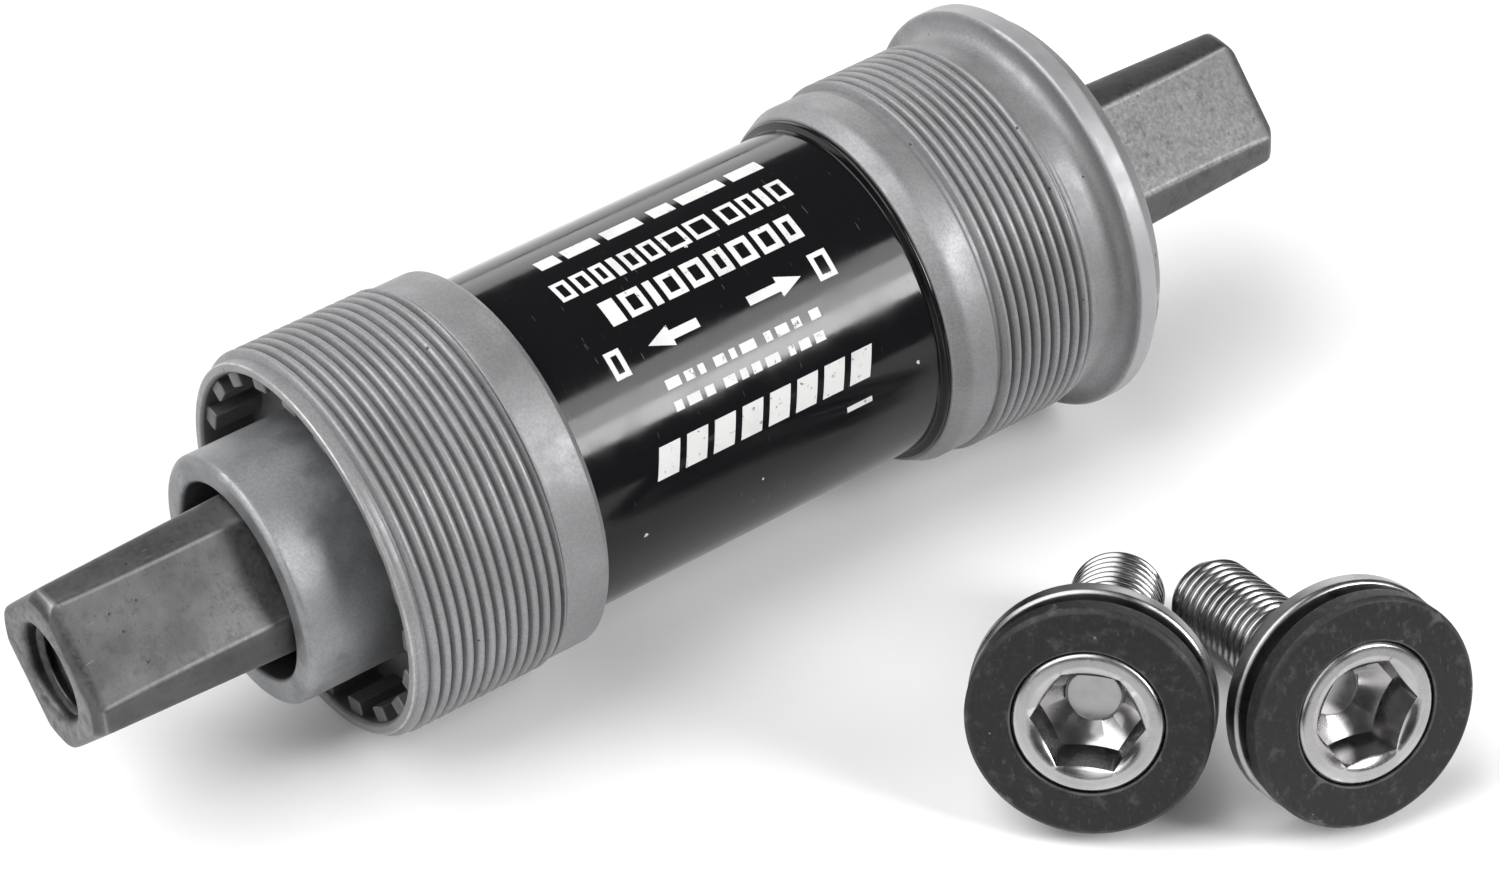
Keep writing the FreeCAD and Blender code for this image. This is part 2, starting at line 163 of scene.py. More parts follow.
class FinishSettings(bpy.types.PropertyGroup):
    """Base colours of the finishes."""

    cup_grey: FloatVectorProperty(name="Cup Steel", subtype="COLOR", size=3, min=0, max=1,
                                  default=(0.315, 0.315, 0.322),
                                  description="Blasted steel of both cups")
    sleeve_grey: FloatVectorProperty(name="Sleeve Steel", subtype="COLOR", size=3, min=0, max=1,
                                     default=(0.32, 0.325, 0.335),
                                     description="Turned steel of the left sleeve")
    axle_grey: FloatVectorProperty(name="Axle Steel", subtype="COLOR", size=3, min=0, max=1,
                                   default=(0.118, 0.118, 0.120), description="Hardened steel of the axle")
    bolt_grey: FloatVectorProperty(name="Bolt Steel", subtype="COLOR", size=3, min=0, max=1,
                                   default=(0.55, 0.54, 0.54),
                                   description="Plated steel of the crank bolts")
    tube_black: FloatVectorProperty(name="Tube Paint", subtype="COLOR", size=3, min=0, max=1,
                                    default=(0.006, 0.006, 0.007), description="Gloss paint of the tube")
    print_white: FloatVectorProperty(name="Tube Print", subtype="COLOR", size=3, min=0, max=1,
                                     default=(0.70, 0.70, 0.69), description="Printed marks on the tube")
    ring_black: FloatVectorProperty(name="Ring Plastic", subtype="COLOR", size=3, min=0, max=1,
                                    default=(0.0075, 0.0075, 0.008),
                                    description="Plastic of the bolt rings")


class StageSettings(bpy.types.PropertyGroup):
    """Floor, lights and camera."""

    key_power: FloatProperty(name="Key Light", default=3.9, min=0, unit="POWER",
                             description="Large soft light to the right of the camera")
    top_power: FloatProperty(name="Top Light", default=10.8, min=0, unit="POWER",
                             description="Soft light above and to the left")
    fill_power: FloatProperty(name="Fill Light", default=1.6, min=0, unit="POWER",
                              description="Soft light to the left of the camera")
    back_power: FloatProperty(name="Back Card", default=2.2, min=0,
                              description="Strength of the white card behind, in watts")
    surround: FloatProperty(name="Surround", default=0.09, min=0, max=2,
                            description="Brightness of the room")
    lens: FloatProperty(name="Lens", default=108.35, min=1, unit="CAMERA",
                        description="Focal length on a 36 mm wide sensor")


# ------------------------------------------------------------------ shaping helpers
def guard_corners(outline, closed, guard=0.35, longest=2.5):
    """Adds points beside each corner of an outline and along its long stretches."""
    filled = []
    for place, start in enumerate(outline):
        filled.append(start)
        if place == len(outline) - 1 and not closed:
            break
        end = outline[(place + 1) % len(outline)]
        length = math.dist(start, end)
        if length < 3 * guard:
            continue
        count = max(1, math.ceil((length - 2 * guard) / longest))
        for number in range(count + 1):
            share = (guard + (length - 2 * guard) * number / count) / length
            filled.append(tuple(a + (b - a) * share for a, b in zip(start, end)))
    return filled


def lathe(outline, steps, ease=0.0, closed=True, least_angle=28):
    """Turns an outline of (run, radius) points about the axle's line, and rounds its sharp edges."""
    bm = bmesh.new()
    verts = [bm.verts.new((0, run, radius)) for run, radius in guard_corners(outline, closed)]
    pairs = list(zip(verts, verts[1:]))
    if closed:
        pairs.append((verts[-1], verts[0]))
    edges = [bm.edges.new(pair) for pair in pairs]
    bmesh.ops.spin(bm, geom=verts + edges, cent=(0, 0, 0), axis=(0, 1, 0), dvec=(0, 0, 0),
                   angle=FULL_TURN, steps=steps, use_merge=True, use_duplicate=False)
    bmesh.ops.remove_doubles(bm, verts=bm.verts[:], dist=1e-4)
    if ease:
        bevel(bm, [e for e in bm.edges if len(e.link_faces) == 2
                   and e.calc_face_angle(0) > math.radians(least_angle)], ease, 2)
    return bm


def bevel(bm, edges, width, segments):
    bmesh.ops.bevel(bm, geom=edges, offset=width, offset_type="OFFSET", segments=segments,
                    profile=0.5, affect="EDGES", material=-1, clamp_overlap=True)


def arc(centre, radius, start_deg, end_deg, count):
    """Points of an outline's fillet, as (run, radius)."""
    points = []
    for number in range(count + 1):
        angle = math.radians(start_deg + (end_deg - start_deg) * number / count)
        points.append((centre[0] + radius * math.cos(angle), centre[1] + radius * math.sin(angle)))
    return points


def limit_at(limits, run):
    """Radius allowed at a station, between the given (run, radius) points in rising order."""
    if run <= limits[0][0]:
        return limits[0][1]
    for (run_a, radius_a), (run_b, radius_b) in zip(limits, limits[1:]):
        if run <= run_b:
            share = (run - run_a) / (run_b - run_a)
            return radius_a + (radius_b - radius_a) * share
    return limits[-1][1]


def only(kind, geom):
    """The vertices or the edges out of what an operator gives back."""
    return [part for part in geom if isinstance(part, kind)]


def thread_ridge(bm, section, start, turns, pitch, hand, steps, limits, inside=False, taper=0.5):
    """Winds a ridge of the given (run, radius) section; hand is 1 for a right-hand thread."""
    one = bmesh.new()
    verts = [one.verts.new((0, start + run, radius)) for run, radius in section]
    edges = [one.edges.new(pair) for pair in zip(verts, verts[1:] + verts[:1])]
    bmesh.ops.spin(one, geom=verts + edges, cent=(0, 0, 0), axis=(0, 1, 0),
                   dvec=(0, -pitch / steps, 0), angle=-hand * FULL_TURN, steps=steps,
                   use_merge=False, use_duplicate=False)
    mesh = bpy.data.meshes.new("one turn")
    one.to_mesh(mesh)
    one.free()
    ridge = bmesh.new()
    for _ in range(turns):
        ridge.from_mesh(mesh)
        mesh.transform(Matrix.Translation((0, -pitch, 0)))
    root = section[0][1]
    in_turn = len(section) * (steps + 1)
    for place, vert in enumerate(ridge.verts):
        radius = math.hypot(vert.co.x, vert.co.z)
        progress = place // in_turn + (place % in_turn) // len(section) / steps
        rise = min(1, progress / taper, (turns - progress) / taper)
        wanted = root + (radius - root) * rise
        allowed = limit_at(limits, vert.co.y)
        wanted = max(wanted, allowed) if inside else min(wanted, allowed)
        vert.co.x *= wanted / radius
        vert.co.z *= wanted / radius
    bmesh.ops.remove_doubles(ridge, verts=ridge.verts[:], dist=1e-4)
    bmesh.ops.holes_fill(ridge, edges=[e for e in ridge.edges if e.is_boundary], sides=0)
    ridge.to_mesh(mesh)
    ridge.free()
    bm.from_mesh(mesh)
    bpy.data.meshes.remove(mesh)


def frame_thread_section():
    """Rounded crest and sloping flanks of the cups' thread."""
    half = [(0.50, ROOT_R - 0.10), (0.47, ROOT_R + 0.03), (0.33, CREST_R - 0.20),
            (0.22, CREST_R - 0.05), (0.10, CREST_R)]
    return [(-run, radius) for run, radius in half] + half[::-1]


def bolt_thread_section(root, crest):
    """Section of a metric thread, outside or inside as the crest stands from the root."""
    toward = 1 if crest > root else -1
    half = [(0.47, root - toward * 0.08), (0.44, root + toward * 0.03),
            (0.16, crest - toward * 0.07), (0.07, crest)]
    return [(-run, radius) for run, radius in half] + half[::-1]


def socket_teeth(bm, run_from, run_to, ease):
    """Splines of the tool socket, each a block let into the cup's wall."""
    depth = SOCKET_ROOT_R - SOCKET_TIP_R + 0.4
    before = set(bm.verts)
    bmesh.ops.create_cube(bm, size=1)
    block = [v for v in bm.verts if v not in before]
    bmesh.ops.scale(bm, vec=(TOOTH_WIDTH, run_to - run_from, depth), verts=block)
    middle = (0, (run_from + run_to) / 2, SOCKET_TIP_R + depth / 2)
    bmesh.ops.translate(bm, vec=middle, verts=block)
    bevel(bm, list({e for v in block for e in v.link_edges}), ease * 1.6, 3)
    tooth = [f for f in bm.faces if all(v not in before for v in f.verts)]
    for number in range(1, TOOTH_COUNT):
        copy = bmesh.ops.duplicate(bm, geom=tooth)["geom"]
        turned = Matrix.Rotation(FULL_TURN * number / TOOTH_COUNT, 3, "Y")
        bmesh.ops.rotate(bm, cent=(0, 0, 0), matrix=turned,
                         verts=only(bmesh.types.BMVert, copy))


def finish_piece(bm, name, body, replaced, finishes, place=None, crease=40):
    """Makes the piece's object, with its place in its mesh, and ties it to the frame."""
    bmesh.ops.recalc_face_normals(bm, faces=bm.faces[:])
    turned = bm.verts.layers.float_vector.new("turned")
    for vert in bm.verts:
        radius = math.hypot(vert.co.x, vert.co.z)
        vert[turned] = (radius, vert.co.y, math.atan2(vert.co.x, vert.co.z))
    for face in bm.faces:
        face.smooth = True
    for edge in bm.edges:
        edge.smooth = edge.calc_face_angle(0) < math.radians(crease)
    bm.transform(Matrix.Scale(MM, 4))
    if place is not None:
        bm.transform(place)
    mesh = bpy.data.meshes.new(name)
    bm.to_mesh(mesh)
    bm.free()
    for wanted in finishes:
        mesh.materials.append(finish(wanted))
    piece = bpy.data.objects.new(name, mesh)
    bpy.context.scene.collection.objects.link(piece)
    shading = piece.modifiers.new("flat faces stay flat", "WEIGHTED_NORMAL")
    shading.keep_sharp = True
    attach(piece, body)
    if replaced:
        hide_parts(*replaced)
    return piece


# ------------------------------------------------------------------ finishes
class Nodes:
    """Adds nodes to one tree, with patterns read at one place vector."""

    def __init__(self, tree, where=None):
        self.tree = tree
        self.where = where

    def link(self, output, socket):
        self.tree.links.new(output, socket)

    def put(self, kind, links=None, **settings):
        """Adds a node. A socket gets a number, a colour or another node's output."""
        made = self.tree.nodes.new(kind)
        for key, value in settings.items():
            setattr(made, key, value)
        for key, value in (links or {}).items():
            if isinstance(value, bpy.types.NodeSocket):
                self.link(value, made.inputs[key])
            else:
                made.inputs[key].default_value = value
        return made

    def compute(self, operation, first, second=0.0):
        return self.put("ShaderNodeMath", {0: first, 1: second}, operation=operation).outputs[0]

    def times(self, first, second):
        return self.compute("MULTIPLY", first, second)

    def more(self, value, added, share):
        """A value with a share of another added."""
        return self.compute("ADD", value, self.times(added, share))

    def less(self, value, taken, share):
        """A value with a share of another taken away."""
        return self.compute("SUBTRACT", value, self.times(taken, share))

    def between(self, value, low, high, to_low=0.0, to_high=1.0):
        """Smooth step of a value from one range to another."""
        return self.put("ShaderNodeMapRange",
                        {"Value": value, "From Min": low, "From Max": high,
                         "To Min": to_low, "To Max": to_high},
                        interpolation_type="SMOOTHSTEP").outputs["Result"]

    def noise(self, scale, detail=3.0, rough=0.5, where=None):
        return self.put("ShaderNodeTexNoise",
                        {"Vector": self.where if where is None else where, "Scale": scale,
                         "Detail": detail, "Roughness": rough}).outputs["Fac"]

    def blend(self, share, first, second):
        first, second = (c if isinstance(c, bpy.types.NodeSocket) else (*c[:3], 1)
                         for c in (first, second))
        return self.put("ShaderNodeMix", {0: share, 6: first, 7: second}, data_type="RGBA").outputs[2]


def new_group(name, inputs, outputs):
    """A shader group with named sockets: its nodes, what comes in and what goes out."""
    tree = bpy.data.node_groups.new(name, "ShaderNodeTree")
    for label, default in inputs.items():
        kind = "NodeSocketVector" if default is None else "NodeSocketFloat"
        socket = tree.interface.new_socket(name=label, in_out="INPUT", socket_type=kind)
        if default is not None:
            socket.default_value = default
    for label in outputs:
        tree.interface.new_socket(name=label, in_out="OUTPUT", socket_type="NodeSocketFloat")
    given = tree.nodes.new("NodeGroupInput").outputs
    result = tree.nodes.new("NodeGroupOutput").inputs
    return Nodes(tree, given["Vector"]), given, result


def edge_wear_and_highlight_group(name):
    """Convex corners picked out of Pointiness and broken up by noise: rubbed wear, and a painted highlight
    along the edges.
    """
    made, given, result = new_group(name, {"Pointiness": 0.5, "Vector": None, "Start": 0.52,
                                           "End": 0.60, "Break Scale": 900.0}, ["Mask"])
    corner = made.between(given["Pointiness"], given["Start"], given["End"])
    broken = made.between(made.noise(given["Break Scale"], 4.0, 0.6), 0.30, 0.62, 0.25, 1.0)
    made.link(made.times(corner, broken), result["Mask"])
    return made.tree


def turning_marks_group(name):
    """Fine rings left by turning, from a piece's own radius and run."""
    made, given, result = new_group(name, {"Turned": None, "Vector": None, "Scale": 9.0},
                                    ["Height", "Tone"])
    parts = made.put("ShaderNodeSeparateXYZ", {"Vector": given["Turned"]}).outputs
    drift = made.times(made.noise(60.0, 1.0), 0.25)
    along = made.put("ShaderNodeCombineXYZ", {"X": parts["X"], "Y": parts["Y"], "Z": drift}).outputs[0]
    rings = made.noise(given["Scale"], 4.0, 0.7, along)
    made.link(rings, result["Height"])
    made.link(made.between(rings, 0.3, 0.7), result["Tone"])
    return made.tree


def pits_group(name):
    """Scattered small pits or specks."""
    made, given, result = new_group(name, {"Vector": None, "Scale": 700.0, "Size": 0.12, "Share": 0.2},
                                    ["Mask", "Soft"])
    cells = made.put("ShaderNodeTexVoronoi",
                     {"Vector": made.where, "Scale": given["Scale"], "Randomness": 1.0},
                     feature="F1").outputs
    lot = made.put("ShaderNodeSeparateColor", {"Color": cells["Color"]}).outputs[0]
    chosen = made.compute("LESS_THAN", lot, given["Share"])
    size = made.times(given["Size"], made.between(made.noise(5200.0, 2.0), 0.2, 0.8, 0.5, 1.5))
    spot = made.compute("LESS_THAN", cells["Distance"], size)
    wide = made.times(given["Size"], 2.4)
    halo = made.compute("SUBTRACT", 1.0, made.between(cells["Distance"], size, wide))
    made.link(made.times(spot, chosen), result["Mask"])
    made.link(made.times(halo, chosen), result["Soft"])
    return made.tree


def fine_lines_group(name):
    """Sparse fine lines: noise drawn out along one direction, with only its peaks kept."""
    made, given, result = new_group(name, {"Vector": None, "Draw": None, "Start": 0.70}, ["Mask"])
    drawn = made.put("ShaderNodeVectorMath", {0: made.where, 1: given["Draw"]},
                     operation="MULTIPLY").outputs[0]
    full = made.compute("ADD", given["Start"], 0.06)
    made.link(made.between(made.noise(1.0, 1.0, 0.5, drawn), given["Start"], full), result["Mask"])
    return made.tree


GROUP_MAKERS = {"edge_wear": edge_wear_and_highlight_group, "turning_marks": turning_marks_group,
                "pits": pits_group, "fine_lines": fine_lines_group}


class Finish(Nodes):
    """A material in the making: its shader, its base colour and the tone laid on so far."""

    def __init__(self, name, base, metallic=0.0, specular=0.5):
        self.material = bpy.data.materials.new(name)
        self.material.use_nodes = True
        super().__init__(self.material.node_tree)
        self.where = self.put("ShaderNodeTexCoord").outputs["Object"]
        self.sockets = self.tree.nodes["Principled BSDF"].inputs
        self.sockets["Metallic"].default_value = metallic
        self.sockets["Specular IOR Level"].default_value = specular
        self.base = self.tone = base

    def shade(self, factor):
        return [min(1, c * factor) for c in self.base]

    def ground(self, cloud, low, high, dark, light):
        """The first tone: two shades of the base colour, mixed by a cloud of noise."""
        self.tone = self.blend(self.between(cloud, low, high), self.shade(dark), self.shade(light))

    def lay(self, mask, colour, share=None):
        """Lays a colour on the tone where the mask says."""
        mask = mask if share is None else self.times(mask, share)
        self.tone = self.blend(mask, self.tone, colour)

    def effect(self, name, links):
        """One of the shared effects, placed with this material's own values."""
        group = bpy.data.node_groups.get(name) or GROUP_MAKERS[name](name)
        return self.put("ShaderNodeGroup", {"Vector": self.where, **links}, node_tree=group).outputs

    def wear(self, start, end, break_scale=900.0):
        point = self.put("ShaderNodeNewGeometry").outputs["Pointiness"]
        return self.effect("edge_wear", {"Pointiness": point, "Start": start, "End": end,
                                         "Break Scale": break_scale})["Mask"]

    def pits(self, scale, size, share):
        return self.effect("pits", {"Scale": scale, "Size": size, "Share": share})

    def lines(self, draw, start):
        return self.effect("fine_lines", {"Draw": draw, "Start": start})["Mask"]

    def turned(self):
        """The piece's own radius, run and angle, in mm and radians."""
        return self.put("ShaderNodeAttribute", attribute_name="turned").outputs["Vector"]

    def turned_parts(self):
        return self.put("ShaderNodeSeparateXYZ", {"Vector": self.turned()}).outputs

    def rings(self, scale):
        return self.effect("turning_marks", {"Turned": self.turned(), "Scale": scale})

    def close(self, roughness, height, strength, distance):
        """Ties tone, roughness and relief to the shader; distance is in mm."""
        self.link(self.tone, self.sockets["Base Color"])
        self.link(roughness, self.sockets["Roughness"])
        relief = self.put("ShaderNodeBump", {"Height": height, "Strength": strength,
                                             "Distance": distance * MM})
        self.link(relief.outputs["Normal"], self.sockets["Normal"])
        return self.material


def blasted_steel(name, grey, rough=0.54, marks=0.12, stain=1.0, metal=1.0, blotch=0.0, painted_shade_within=0.0):
    """Satin grey steel: blasted grain, faint rings, small pits and brown stains, corners lighter with wear
    and a painted highlight; when asked, painted shade within a radius and a painted highlight at the
    flange's rim.
    """
    made = Finish(name, grey, metal)
    made.ground(made.noise(95.0), 0.32, 0.70, 0.86, 1.12)
    grain = made.noise(4200.0, 2.0, 0.6)
    made.lay(made.between(grain, 0.3, 0.7, 0.0, 0.42), made.shade(0.60))
    pits = made.pits(640.0, 0.085, 0.12)
    made.lay(pits["Mask"], (0.035, 0.03, 0.028), 0.8)
    made.lay(made.pits(210.0, 0.075, 0.05 * stain)["Soft"], (0.20, 0.13, 0.06), 0.65)
    # Lighter on convex edges: partly real wear, partly a painted highlight.
    wear = made.wear(0.515, 0.60)
    made.lay(wear, (0.62, 0.62, 0.62), 0.5)
    if blotch:
        made.lay(made.between(made.noise(130.0, 5.0, 0.6), 0.48, 0.66, 0.0, blotch), made.shade(0.45))
    if painted_shade_within:
        # Painted shade in the cup's socket, inside the given radius.
        radius = made.turned_parts()["X"]
        made.lay(made.between(radius, painted_shade_within - 0.3, painted_shade_within, 0.72, 0.0), made.shade(0.22))
        # Painted highlight: a bright line at the flange's rim.
        made.lay(made.between(radius, FLANGE_R - 0.12, FLANGE_R - 0.04, 0.0, 0.7), made.shade(1.45))
    roughness = made.between(made.noise(420.0), 0.3, 0.7, rough - 0.05, rough + 0.07)
    height = made.times(grain, 0.6)
    if marks:
        height = made.more(height, made.rings(7.0)["Height"], marks)
    height = made.less(height, pits["Soft"], 0.8)
    return made.close(made.less(roughness, wear, 0.16), height, 0.8, 0.020)


def axle_steel(name, grey):
    """Dark hardened steel with mottling, fine lines lengthwise, pale corners with wear and a painted
    highlight, a painted bright line along the flats' edges and painted shade in the tapped hole.
    """
    made = Finish(name, grey, 1.0)
    made.ground(made.noise(150.0, 5.0, 0.62), 0.30, 0.70, 0.72, 1.30)
    mottle = made.noise(2400.0, 4.0, 0.7)
    made.lay(made.between(mottle, 0.35, 0.75, 0.0, 0.30), made.shade(1.6))
    parts = made.turned_parts()
    drive_side = made.between(parts["Y"], -10.0, 0.0, 0.75, 0.0)
    made.lay(drive_side, made.shade(1.35))
    flecks = made.between(made.noise(700.0, 6.0, 0.75), 0.50, 0.66, 0.0, 0.55)
    made.lay(flecks, made.shade(0.6))
    reach_in = made.compute("SUBTRACT", AXLE_LEFT, made.compute("ABSOLUTE", parts["Y"]))
    corner = made.between(reach_in, 0.0, AXLE_LEFT - LEFT_TAPER_ROOT,
                          AXLE_CORNER_R, AXLE_CORNER_R + CORNER_GROWTH)
    # Darker on the turned corner bands, and a painted highlight as a thin bright line along each flat's
    # edge.
    outer = made.between(made.compute("SUBTRACT", parts["X"], corner), -0.22, -0.02)
    made.lay(outer, made.shade(0.62), 0.4)
    painted_edge_glint = made.times(outer, made.compute("SUBTRACT", 1.0, outer))
    made.lay(painted_edge_glint, made.shade(2.3), 2.2)
    tip = made.between(parts["Y"], AXLE_LEFT - 0.8, AXLE_LEFT - 0.1, 0.0, 0.5)
    made.lay(tip, made.shade(0.45))
    # Painted shade inside the tapped hole.
    bore = made.between(parts["X"], COUNTERSINK_R - 0.5, COUNTERSINK_R - 0.1, 0.75, 0.0)
    made.lay(bore, made.shade(0.15))
    lines = made.lines((7000.0, 450.0, 7000.0), 0.75)
    made.lay(lines, (0.40, 0.40, 0.40), 0.35)
    made.lay(made.lines((1500.0, 6000.0, 2500.0), 0.71), (0.03, 0.03, 0.03), 0.7)
    pits = made.pits(900.0, 0.10, 0.10)
    made.lay(pits["Mask"], (0.03, 0.03, 0.03), 0.7)
    # Pale on convex corners: partly real wear, partly a painted highlight.
    wear = made.wear(0.51, 0.58)
    made.lay(wear, (0.5, 0.49, 0.48), 0.55)
    roughness = made.less(made.between(mottle, 0.3, 0.7, 0.46, 0.60), wear, 0.12)
    height = made.less(made.less(mottle, lines, 0.5), pits["Soft"], 0.6)
    return made.close(roughness, height, 0.5, 0.02)


def tube_paint(name, colour):
    """Gloss black paint with slight orange peel, dust specks and hairlines."""
    made = Finish(name, colour, specular=0.30)
    specks = made.pits(330.0, 0.055, 0.10)
    made.lay(specks["Mask"], (0.55, 0.54, 0.52))
    hair = made.lines((500.0, 9000.0, 500.0), 0.76)
    made.lay(hair, (0.16, 0.16, 0.16), 0.6)
    smear = made.between(made.noise(160.0, 4.0, 0.6), 0.35, 0.75, 0.09, 0.19)
    height = made.more(made.noise(700.0, 2.0), specks["Soft"], 0.6)
    return made.close(made.more(smear, hair, 0.3), height, 0.12, 0.03)


def print_paint(name, colour):
    """White printed marks, thin and rubbed through in places."""
    made = Finish(name, colour)
    rub = made.noise(1300.0, 5.0, 0.75)
    made.lay(made.between(rub, 0.60, 0.68), (0.05, 0.05, 0.05))
    made.lay(made.between(made.noise(240.0, 2.0), 0.45, 0.75, 0.0, 0.35), (0.45, 0.45, 0.45))
    return made.close(made.between(rub, 0.3, 0.7, 0.38, 0.6), rub, 0.2, 0.01)


def plated_steel(name, grey, rough, marks=0.5, wear=0.5, dim_beyond=0.0):
    """Bright plated steel with turning rings."""
    made = Finish(name, grey, 1.0)
    rings = made.rings(8.0)
    cloud = made.noise(260.0, 4.0, 0.6)
    made.ground(cloud, 0.3, 0.7, 0.80, 1.15)
    made.lay(rings["Tone"], made.shade(0.55), 0.22)
    made.lay(made.pits(1300.0, 0.10, 0.07)["Mask"], (0.05, 0.045, 0.04), 0.6)
    # Lighter on convex edges: partly real wear, partly a painted highlight.
    made.lay(made.wear(0.52, 0.62), (0.85, 0.85, 0.85), wear)
    if dim_beyond:
        radius = made.turned_parts()["X"]
        made.lay(made.between(radius, dim_beyond, dim_beyond + 0.2, 0.0, 0.6), made.shade(0.35))
    height = made.more(made.times(rings["Height"], marks), made.noise(3800.0, 2.0), 0.3)
    return made.close(made.between(cloud, 0.3, 0.7, rough - 0.05, rough + 0.07), height, 0.35, 0.012)


def matt_plastic(name, colour, rough=0.55, scuffed=0.6):
    """Moulded black plastic or rubber with a fine grain, scuffed and dusty on its corners."""
    made = Finish(name, colour, specular=0.35)
    scuff = (0.11, 0.11, 0.11)
    grain = made.noise(2600.0, 4.0, 0.7)
    made.lay(made.between(grain, 0.35, 0.7, 0.0, 0.6), [c * 2.0 + 0.006 for c in colour])
    made.lay(made.wear(0.505, 0.58, 700.0), scuff, scuffed)
    made.lay(made.between(made.noise(700.0, 5.0, 0.7), 0.52, 0.72), scuff, 0.30)
    made.lay(made.lines((3000.0, 5000.0, 700.0), 0.68), scuff, 0.25)
    made.lay(made.pits(800.0, 0.09, 0.10)["Mask"], (0.25, 0.25, 0.24), 0.5)
    return made.close(made.between(grain, 0.3, 0.7, rough - 0.07, rough + 0.1), grain, 0.5, 0.02)


# Each finish: its maker, its colour or the setting that holds it, a share of that, and what is its own.
FINISHES = {
    # The cups' steel carries painted shade in the socket and a painted highlight at the flange's rim.
    "cup_steel_blasted": (blasted_steel, "cup_grey", 1,
                          {"metal": 0.65, "painted_shade_within": SOCKET_ROOT_R + 0.35}),
    "sleeve_steel_turned": (blasted_steel, "sleeve_grey", 1,
                            {"rough": 0.52, "marks": 0.35, "stain": 0.5, "metal": 0.8, "blotch": 0.7}),
    "axle_steel_hardened": (axle_steel, "axle_grey", 1, {}),
    "tube_paint_gloss": (tube_paint, "tube_black", 1, {}),
    "tube_print_white": (print_paint, "print_white", 1, {}),
    "bolt_face_plated": (plated_steel, "bolt_grey", 0.85,
                         {"rough": 0.28, "dim_beyond": BOLT_HEAD_R + 0.3}),
    "bolt_socket_plated": (plated_steel, "bolt_grey", 0.75, {"rough": 0.22, "marks": 0.06}),
    "bolt_shank_plated": (plated_steel, "bolt_grey", 0.62, {"rough": 0.20, "marks": 0.2, "wear": 0.8}),
    "bolt_flange_plated": (plated_steel, "bolt_grey", 0.60, {"rough": 0.30, "marks": 0.8, "wear": 0.7}),
    "ring_plastic_black": (matt_plastic, "ring_black", 1, {}),
    "seal_rubber_black": (matt_plastic, (0.016, 0.016, 0.016), 1, {"rough": 0.62, "scuffed": 0.25}),
    "bearing_steel_ground": (blasted_steel, (0.62, 0.62, 0.63), 1,
                             {"rough": 0.18, "stain": 0.2, "marks": 0.0}),
    "ball_steel_polished": (blasted_steel, (0.70, 0.70, 0.71), 1,
                            {"rough": 0.09, "stain": 0.0, "marks": 0.0}),
    "cage_nylon_moulded": (matt_plastic, (0.05, 0.045, 0.035), 1, {"rough": 0.5, "scuffed": 0.2}),
    "clip_steel_blued": (blasted_steel, (0.16, 0.16, 0.18), 1, {"rough": 0.30, "marks": 0.0}),
    "spacer_steel_plain": (blasted_steel, (0.33, 0.33, 0.33), 1, {"rough": 0.42, "marks": 0.0}),
}


def finish(name):
    """The finish of that name, made the first time that it is asked for."""
    ready = bpy.data.materials.get(name)
    if ready:
        return ready
    maker, colour, share, own = FINISHES[name]
    if isinstance(colour, str):
        colour = getattr(bpy.context.scene.bracket_finish, colour)
    return maker(name, [c * share for c in colour], **own)


# ------------------------------------------------------------------ pieces
class BuildLeftCup(bpy.types.Operator):
    """Left cup: right-hand frame thread, plain collar and splined socket"""

    bl_idname = "bracket.left_cup"
    bl_label = "Left Cup"

    def execute(self, context):
        sizes = context.scene.bracket_threads
        ease = sizes.edge_ease / MM
        bore = TUBE_R + 0.08
        hole = SLEEVE_R + 0.3
        chamfer = 0.65
        web_outer = LEFT_FACE - 5.0
        web_inner = web_outer - WEB_THICKNESS
        outline = [(LEFT_FACE, SOCKET_ROOT_R + 0.25), (LEFT_FACE, CREST_R - 0.70)]
        outline += [(LEFT_FACE - 0.10, ROOT_R), (COLLAR_EDGE + 0.05, ROOT_R)]
        outline += [(COLLAR_EDGE - 0.05, COLLAR_R), (LEFT_CUP_END + chamfer, COLLAR_R)]
        outline += [(LEFT_CUP_END, COLLAR_R - chamfer), (LEFT_CUP_END, bore + 0.25)]
        outline += [(LEFT_CUP_END + 0.25, bore), (web_inner, bore), (web_inner, hole), (web_outer, hole)]
        outline += [(web_outer, SOCKET_ROOT_R), (LEFT_FACE - 0.25, SOCKET_ROOT_R)]
        bm = lathe(outline, sizes.turn_steps, ease)
        socket_teeth(bm, web_outer - 0.3, LEFT_FACE - TOOTH_RECESS, ease)
        limits = [(COLLAR_EDGE - 0.1, ROOT_R - 0.1), (COLLAR_EDGE, COLLAR_R), (COLLAR_EDGE + 0.25, CREST_R),
                  (LEFT_FACE - 0.8, CREST_R), (LEFT_FACE, CREST_R - 0.70)]
        thread_ridge(bm, frame_thread_section(), 35.92, 14, sizes.pitch / MM, 1,
                     sizes.thread_steps, limits)
        finish_piece(bm, "left_cup_threaded", "left_cup", ["left_cup"],
                     ["cup_steel_blasted"])
        return {"FINISHED"}


